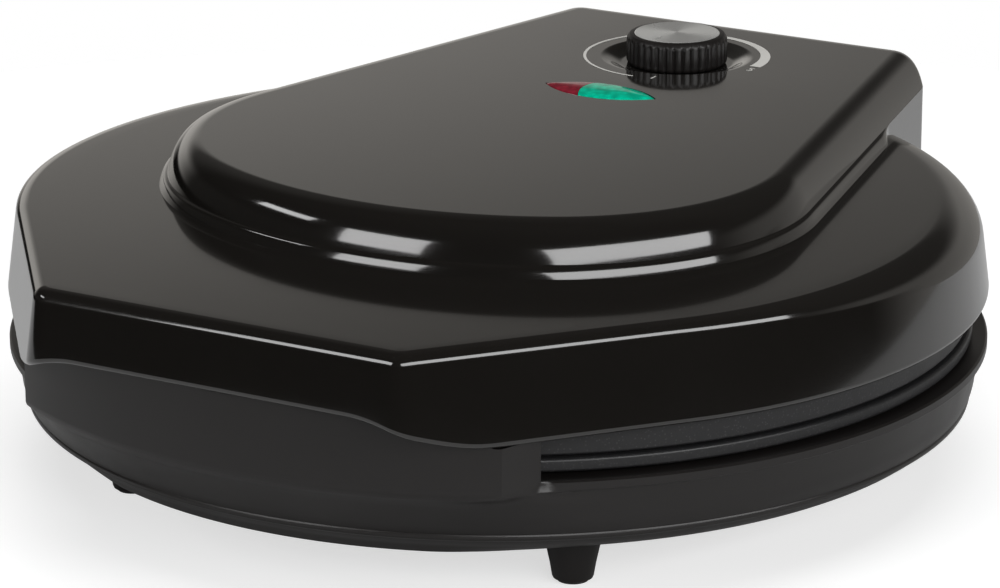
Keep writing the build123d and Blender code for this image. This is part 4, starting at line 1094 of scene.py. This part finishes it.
class BuildKnob(Operator):
    """Builds the fluted knob and its turned metal cap with the pointer notch"""

    bl_idname = "cooker.build_knob"
    bl_label = "Knob"

    fins: IntProperty(name="Fins", description="Number of fins round the knob", default=36, min=8)

    def execute(self, context):
        shape = context.scene.cooker_shape
        self.build_grip(shape.knob_radius, shape.flute_depth)
        self.build_disc()
        return {"FINISHED"}

    def build_grip(self, reach, flute):
        """Builds the fluted grip with the recess for its disc."""
        low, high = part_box("control_knob")
        bottom, top = low[2], high[2]
        # Depth of the grip's side at eight points from fin to fin, as a share of a flute's depth
        groove = (0.0, 0.0, 1 / 9, 2 / 3, 1.0, 2 / 3, 1 / 9, 0.0)
        count = self.fins * len(groove)
        recess, floor, middle = 0.01525, top - 0.0012, 0.0040

        def fluted(radius, depth):
            return [-(radius - depth * groove[index % len(groove)]) for index in range(count)]

        rows = [
            (fluted(middle, 0.0), bottom),
            (fluted(reach - 0.0008, flute), bottom),
            (fluted(reach - 0.0002, flute), bottom + 0.0006),
            (fluted(reach, flute), bottom + 0.0014),
            (fluted(reach, flute), top - 0.0026),
            (fluted(reach - 0.0001, 0.0004), top - 0.0018),
            (fluted(reach - 0.0004, 0.0), top - 0.0010),
            (fluted(reach - 0.0011, 0.0), top - 0.0002),
            (fluted(reach - 0.0020, 0.0), top),
            (fluted(recess, 0.0), top),
            (fluted(recess, 0.0), floor),
            (fluted(middle, 0.0), floor),
        ]
        bm = bmesh.new()
        closed_loft(bm, hub_outline(KNOB, count), rows)
        piece = finish_piece(bm, "knob_grip", "knob", knob_black(), sharp=35)
        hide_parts("control_knob")

    def build_disc(self):
        """Builds the metal disc with the notch that points to the dial."""
        cap_low, cap_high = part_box("knob_cap")
        crown = cap_high[2]
        rows = [(-0.0148, cap_low[2]), (-0.0152, crown - 0.0003), (-0.0150, crown - 0.0001),
                (-0.0147, crown), (-0.0146, crown)]
        bm = bmesh.new()
        start, end = loft_rows(bm, hub_outline(KNOB, KNOB_RING), rows)
        cap(bm, start)
        ahead = Vector((-0.139, -0.990)).normalized()
        across = Vector((ahead.y, -ahead.x))
        notch_start, notch_end, notch_half, notch_depth = 0.0090, 0.0135, 0.0007, 0.0006
        notch = []
        for along, side in ((notch_start, -1), (notch_start, 1), (notch_end, 1), (notch_end, -1)):
            notch.append(KNOB + ahead * along + across * side * notch_half)
        notch_top = new_ring(bm, notch, crown)
        fill_between(bm, end, notch_top)
        cap(bm, ring_down(bm, notch_top, crown - notch_depth))
        piece = finish_piece(bm, "knob_disc", "knob", spun_aluminium_painted_fans(), sharp=35)
        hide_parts("knob_cap")


class BuildLens(Operator):
    """Builds the two halves of the eye-shaped indicator lens"""

    bl_idname = "cooker.build_lens"
    bl_label = "Indicator lens"

    def execute(self, context):
        shape = context.scene.cooker_shape
        finish = context.scene.cooker_finish
        top, half_width = shape.cover_top, shape.lens_half_width
        rim = eye_points(shape.lens_half_length, half_width, 40)
        # Rows over the lens as (share of its rim, height)
        dome = ((1.0, -0.0005), (0.975, 0.0), (0.93, 0.0003), (0.80, 0.0007), (0.6, 0.0010),
                (0.35, 0.00115), (0.12, 0.0012))
        underside = top - 0.0037
        # The halves part left of the middle, with a boundary that bows to the left
        parting, kerf, bow_depth, bow_rest, bow_reach = -0.0050, 0.0001, 0.0022, 0.0011, 0.012
        for name, color, slot, side in (
            ("red_lens", finish.lens_red, "lens_red", -1),
            ("green_lens", finish.lens_green, "lens_green", 1),
        ):
            bm = bmesh.new()
            start = new_ring(bm, rim, underside)
            ring = start
            for scale, height in dome:
                ring = ring_to(bm, ring, [(x * scale, y * scale) for x, y in rim], top + height)
            cap(bm, ring)
            cap(bm, start)
            bmesh.ops.recalc_face_normals(bm, faces=bm.faces)
            made = bmesh.ops.bisect_plane(
                bm,
                geom=bm.verts[:] + bm.edges[:] + bm.faces[:],
                plane_co=(parting + side * kerf, 0, 0),
                plane_no=(-side, 0, 0),
                clear_outer=True,
            )
            bmesh.ops.contextual_create(bm, geom=of_kind(made["geom_cut"], bmesh.types.BMEdge))
            for vert in bm.verts:
                bow = bow_depth * (1 - (vert.co.y / half_width)**2)
                near = max(0.0, 1 - abs(vert.co.x - parting) / bow_reach)
                vert.co.x += (bow_rest - bow) * near
                vert.co.y += shape.lens_place
            material = clear_lens(name.replace("_", " "), color)
            piece = finish_piece(bm, name.replace("lens", "window"), "lid", material)
            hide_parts(name)
        return {"FINISHED"}


class BuildDialPrint(Operator):
    """Prints the widening arc and plain numbers round the knob"""

    bl_idname = "cooker.build_dial_print"
    bl_label = "Dial print"

    def execute(self, context):
        shape = context.scene.cooker_shape
        ink = dial_ink()
        ink_height, number_radius = shape.cover_top + 0.00006, 0.0322
        self.print_arc(shape.dial_radius, ink_height, ink)
        for text, degrees, name in (("1", 283, "dial_low"), ("5", 352, "dial_high")):
            spot = KNOB + number_radius * around(math.radians(degrees))
            self.print_number(text, name, (spot.x, spot.y + DISC_Y, ink_height), ink)
        return {"FINISHED"}

    def print_arc(self, radius, height, ink):
        """Prints the arc, which widens clockwise from the front."""
        steps, sweep = 120, math.radians(270)
        thin, swell, power = 0.0009, 0.0033, 2.2
        bm = bmesh.new()
        pairs = []
        for step in range(steps + 1):
            part = step / steps
            outward = around(FRONT - sweep * part)
            outer = KNOB + outward * radius
            inner = KNOB + outward * (radius - thin - swell * part**power)
            pairs.append([bm.verts.new((point.x, point.y, height)) for point in (outer, inner)])
        for first, second in zip(pairs, pairs[1:]):
            bm.faces.new((first[0], first[1], second[1], second[0]))
        finish_piece(bm, "dial_arc", "lid", ink)

    def print_number(self, text, name, place, ink):
        """Prints one plain number at a place."""
        curve = bpy.data.curves.new(name, "FONT")
        curve.body = text
        curve.size = 0.0052
        curve.align_x = "CENTER"
        curve.align_y = "CENTER"
        curve.extrude = 0.00002
        letter = linked(name, curve)
        bpy.context.view_layer.update()
        mesh = bpy.data.meshes.new_from_object(letter)
        bpy.data.objects.remove(letter)
        mesh.transform(Matrix.Translation(place))
        mark = linked(name, mesh)
        mesh.materials.clear()
        mesh.materials.append(ink)
        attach(mark, "lid")


class DressNodes(Operator):
    """Gives every carried-over node its finish"""

    bl_idname = "cooker.dress_nodes"
    bl_label = "Inner parts"

    def execute(self, context):
        # Each slot's finish: name, colour, smoothest and roughest spots, grain size and grain depth
        metals = {
            "screw_steel": ("zinc steel", (0.55, 0.55, 0.56), 0.28, 0.42, 1200.0, 0.00001),
            "sheet_steel": ("galvanised sheet", (0.62, 0.62, 0.61), 0.30, 0.50, 400.0, 0.00002),
            "element_steel": ("element sheath", (0.16, 0.145, 0.135), 0.38, 0.55, 1500.0, 0.00003),
            "hinge_steel": ("drawn rod", (0.60, 0.60, 0.60), 0.18, 0.26, 1800.0, 0.000005),
        }
        mouldings = {
            "pad_rubber": ("foot rubber", (0.03, 0.03, 0.03), 0.7, 0.85, 1600.0, 0.00004),
            "gland_rubber": ("gland rubber", (0.012, 0.012, 0.012), 0.55, 0.7, 1600.0, 0.00003),
            "inner_plastic": ("heat-proof plastic", (0.62, 0.59, 0.50), 0.4, 0.5, 1800.0, 0.00002),
            "fuse_white": ("fuse sleeve", (0.75, 0.73, 0.68), 0.5, 0.6, 1800.0, 0.00002),
            "lamp_glass": ("lamp glass", (0.80, 0.78, 0.72), 0.05, 0.10, 900.0, 0.000002),
        }
        finishes = {slot: metal(*values) for slot, values in metals.items()}
        finishes.update({slot: moulded(*values) for slot, values in mouldings.items()})
        slots = {item["node"]: item["material_slot"] for item in frame["record"]["subparts"]}
        for name, node in frame["nodes"].items():
            finish = finishes.get(slots[name])
            if finish is None:
                continue
            node.data.materials.clear()
            node.data.materials.append(finish)
        return {"FINISHED"}


def background_rays(nodes, links):
    """Mask of the rays that see the plain white background: those of the camera and those through glass."""
    rays = nodes.new("ShaderNodeLightPath").outputs
    return calculated(nodes, links, "MAXIMUM", rays["Is Camera Ray"], rays["Is Transmission Ray"])


def floor_white():
    """White floor that keeps its shadow and reads white to the camera."""
    studio = bpy.context.scene.cooker_studio
    material, nodes, links, shader = new_material("studio floor")
    set_inputs(shader, {
        "Base Color": (*studio.floor_tone, 1),
        "Roughness": 0.9,
        "Specular IOR Level": 0.0,
        "Emission Color": (1, 1, 1, 1),
    })
    lift = calculated(nodes, links, "MULTIPLY", background_rays(nodes, links), studio.floor_lift)
    links.new(lift, shader.inputs["Emission Strength"])
    return material


def studio_world():
    """Pale band low behind the object in a darker room, and plain white for the camera."""
    studio = bpy.context.scene.cooker_studio
    world = bpy.data.worlds.new("studio world")
    world.use_nodes = True
    nodes, links = world.node_tree.nodes, world.node_tree.links
    place = add_node(nodes, "TexCoord")
    split = add_node(nodes, "SeparateXYZ")
    links.new(place.outputs["Generated"], split.inputs["Vector"])
    side, depth, height = (split.outputs[axis] for axis in "XYZ")

    def share(source, low, high, start, end):
        return eased(nodes, links, source, low, high, start, end)

    def combined(operation, first, second):
        return calculated(nodes, links, operation, first, second)

    # The band's own brightness falls with height. It stands on the table's edge, but well behind the
    # object it runs on below it, and it dims to the front and to the right
    band = share(height, low=0.18, high=0.36, start=studio.horizon_level, end=studio.shade_level)
    above = share(height, low=-0.02, high=0.03, start=0.0, end=1.0)
    below = share(depth, low=0.55, high=0.85, start=0.0, end=1.0)
    behind = share(depth, low=0.10, high=0.62, start=studio.shade_level, end=1.0)
    right = share(side, low=-0.62, high=-0.34, start=1.30, end=0.55)
    standing = combined("MULTIPLY", band, combined("MAXIMUM", above, below))
    level = combined("MULTIPLY", combined("MULTIPLY", standing, behind), right)

    room = nodes["Background"]
    room.inputs["Color"].default_value = (*studio.room_tint, 1)
    links.new(level, room.inputs["Strength"])
    white = add_node(nodes, "Background", {"Color": (1, 1, 1, 1)})
    choice = nodes.new("ShaderNodeMixShader")
    links.new(background_rays(nodes, links), choice.inputs["Fac"])
    links.new(room.outputs["Background"], choice.inputs[1])
    links.new(white.outputs["Background"], choice.inputs[2])
    links.new(choice.outputs["Shader"], nodes["World Output"].inputs["Surface"])
    return world


class BuildStage(Operator):
    """Sets the pale floor, the backdrop light, the soft boxes and the camera"""

    bl_idname = "cooker.build_stage"
    bl_label = "Studio"

    def execute(self, context):
        scene = context.scene
        studio = scene.cooker_studio
        bm = bmesh.new()
        bmesh.ops.create_circle(bm, segments=96, radius=studio.floor_radius, cap_ends=True)
        mesh = bpy.data.meshes.new("studio_floor")
        bm.to_mesh(mesh)
        bm.free()
        floor = linked("studio_floor", mesh)
        mesh.materials.append(floor_white())
        scene.world = studio_world()
        target = Vector((0, DISC_Y, studio.target_height))
        self.place_lamps(studio, target)
        scene.camera = self.place_camera(studio, target)
        scene.view_settings.view_transform = "Standard"
        return {"FINISHED"}

    def place_lamps(self, studio, target):
        """Places the soft boxes, by their direction and the angles they span, and the overhead lamp."""
        for name, azimuth, elevation, wide, tall in (
            ("window_left", -19, 20.5, 24, 17),
            ("window_far_left", -56, 29, 19, 6),
            ("window_right", 64, 22, 68, 19),
        ):
            away = seen_from(math.radians(azimuth), math.radians(elevation))
            lamp = bpy.data.lights.new(name, "AREA")
            lamp.shape = "RECTANGLE"
            lamp.size = 2 * studio.window_distance * math.tan(math.radians(wide / 2))
            lamp.size_y = 2 * studio.window_distance * math.tan(math.radians(tall / 2))
            lamp.energy = studio.window_level * math.pi * lamp.size * lamp.size_y
            holder = linked(name, lamp)
            holder.location = target + studio.window_distance * away
            holder.rotation_euler = (-away).to_track_quat("-Z", "Y").to_euler()

        # The overhead lamp lights the colours and stays out of the glossy reflections
        lamp = bpy.data.lights.new("overhead", "AREA")
        lamp.size = studio.overhead_size
        lamp.energy = studio.overhead_power
        holder = linked("overhead", lamp)
        holder.location = target + Vector((0, 0, studio.overhead_rise))
        holder.visible_glossy = False

    def place_camera(self, studio, target):
        """Places the camera, which looks a little past the object's middle."""
        sight = -seen_from(studio.azimuth, studio.elevation + studio.tilt)
        view = bpy.data.cameras.new("view")
        view.lens = studio.lens
        view.shift_x = studio.shift
        view.sensor_width = 36.0
        view.sensor_fit = "HORIZONTAL"
        view.clip_end = 50.0
        camera = linked("view", view)
        camera.location = target + studio.distance * seen_from(studio.azimuth, studio.elevation)
        camera.rotation_euler = sight.to_track_quat("-Z", "Y").to_euler()
        return camera


STEPS = (
    BuildStage, BuildBase, BuildFeet, BuildPlates, BuildLid, BuildCover, BuildSkirt, BuildKnob, BuildLens,
    BuildDialPrint, DressNodes,
)


class CookerPanel(Panel):
    """Lists the pieces in the order in which they are built"""

    bl_idname = "VIEW3D_PT_cooker"
    bl_label = "Pizza maker"
    bl_space_type = "VIEW_3D"
    bl_region_type = "UI"
    bl_category = "Pizza maker"

    def draw(self, context):
        for step in STEPS:
            self.layout.operator(step.bl_idname)
        for group in (context.scene.cooker_shape, context.scene.cooker_finish, context.scene.cooker_studio):
            box = self.layout.box()
            for name in group.__annotations__:
                box.prop(group, name)


CLASSES = (CookerShape, CookerFinish, CookerStudio) + STEPS + (CookerPanel,)


def register():
    """Adds the classes and their settings."""
    for item in CLASSES:
        bpy.utils.register_class(item)
    bpy.types.Scene.cooker_shape = PointerProperty(type=CookerShape)
    bpy.types.Scene.cooker_finish = PointerProperty(type=CookerFinish)
    bpy.types.Scene.cooker_studio = PointerProperty(type=CookerStudio)


def unregister():
    """Takes the classes and their settings away."""
    del bpy.types.Scene.cooker_studio
    del bpy.types.Scene.cooker_finish
    del bpy.types.Scene.cooker_shape
    for item in reversed(CLASSES):
        bpy.utils.unregister_class(item)


def main():
    """Builds every piece in order."""
    register()
    bpy.ops.cooker.build_stage()
    bpy.ops.cooker.build_base()
    bpy.ops.cooker.build_feet()
    bpy.ops.cooker.build_plates()
    bpy.ops.cooker.build_lid()
    bpy.ops.cooker.build_cover()
    bpy.ops.cooker.build_skirt()
    bpy.ops.cooker.build_knob()
    bpy.ops.cooker.build_lens()
    bpy.ops.cooker.build_dial_print()
    bpy.ops.cooker.dress_nodes()
    bpy.context.view_layer.update()


if __name__ == "__main__":
    main()
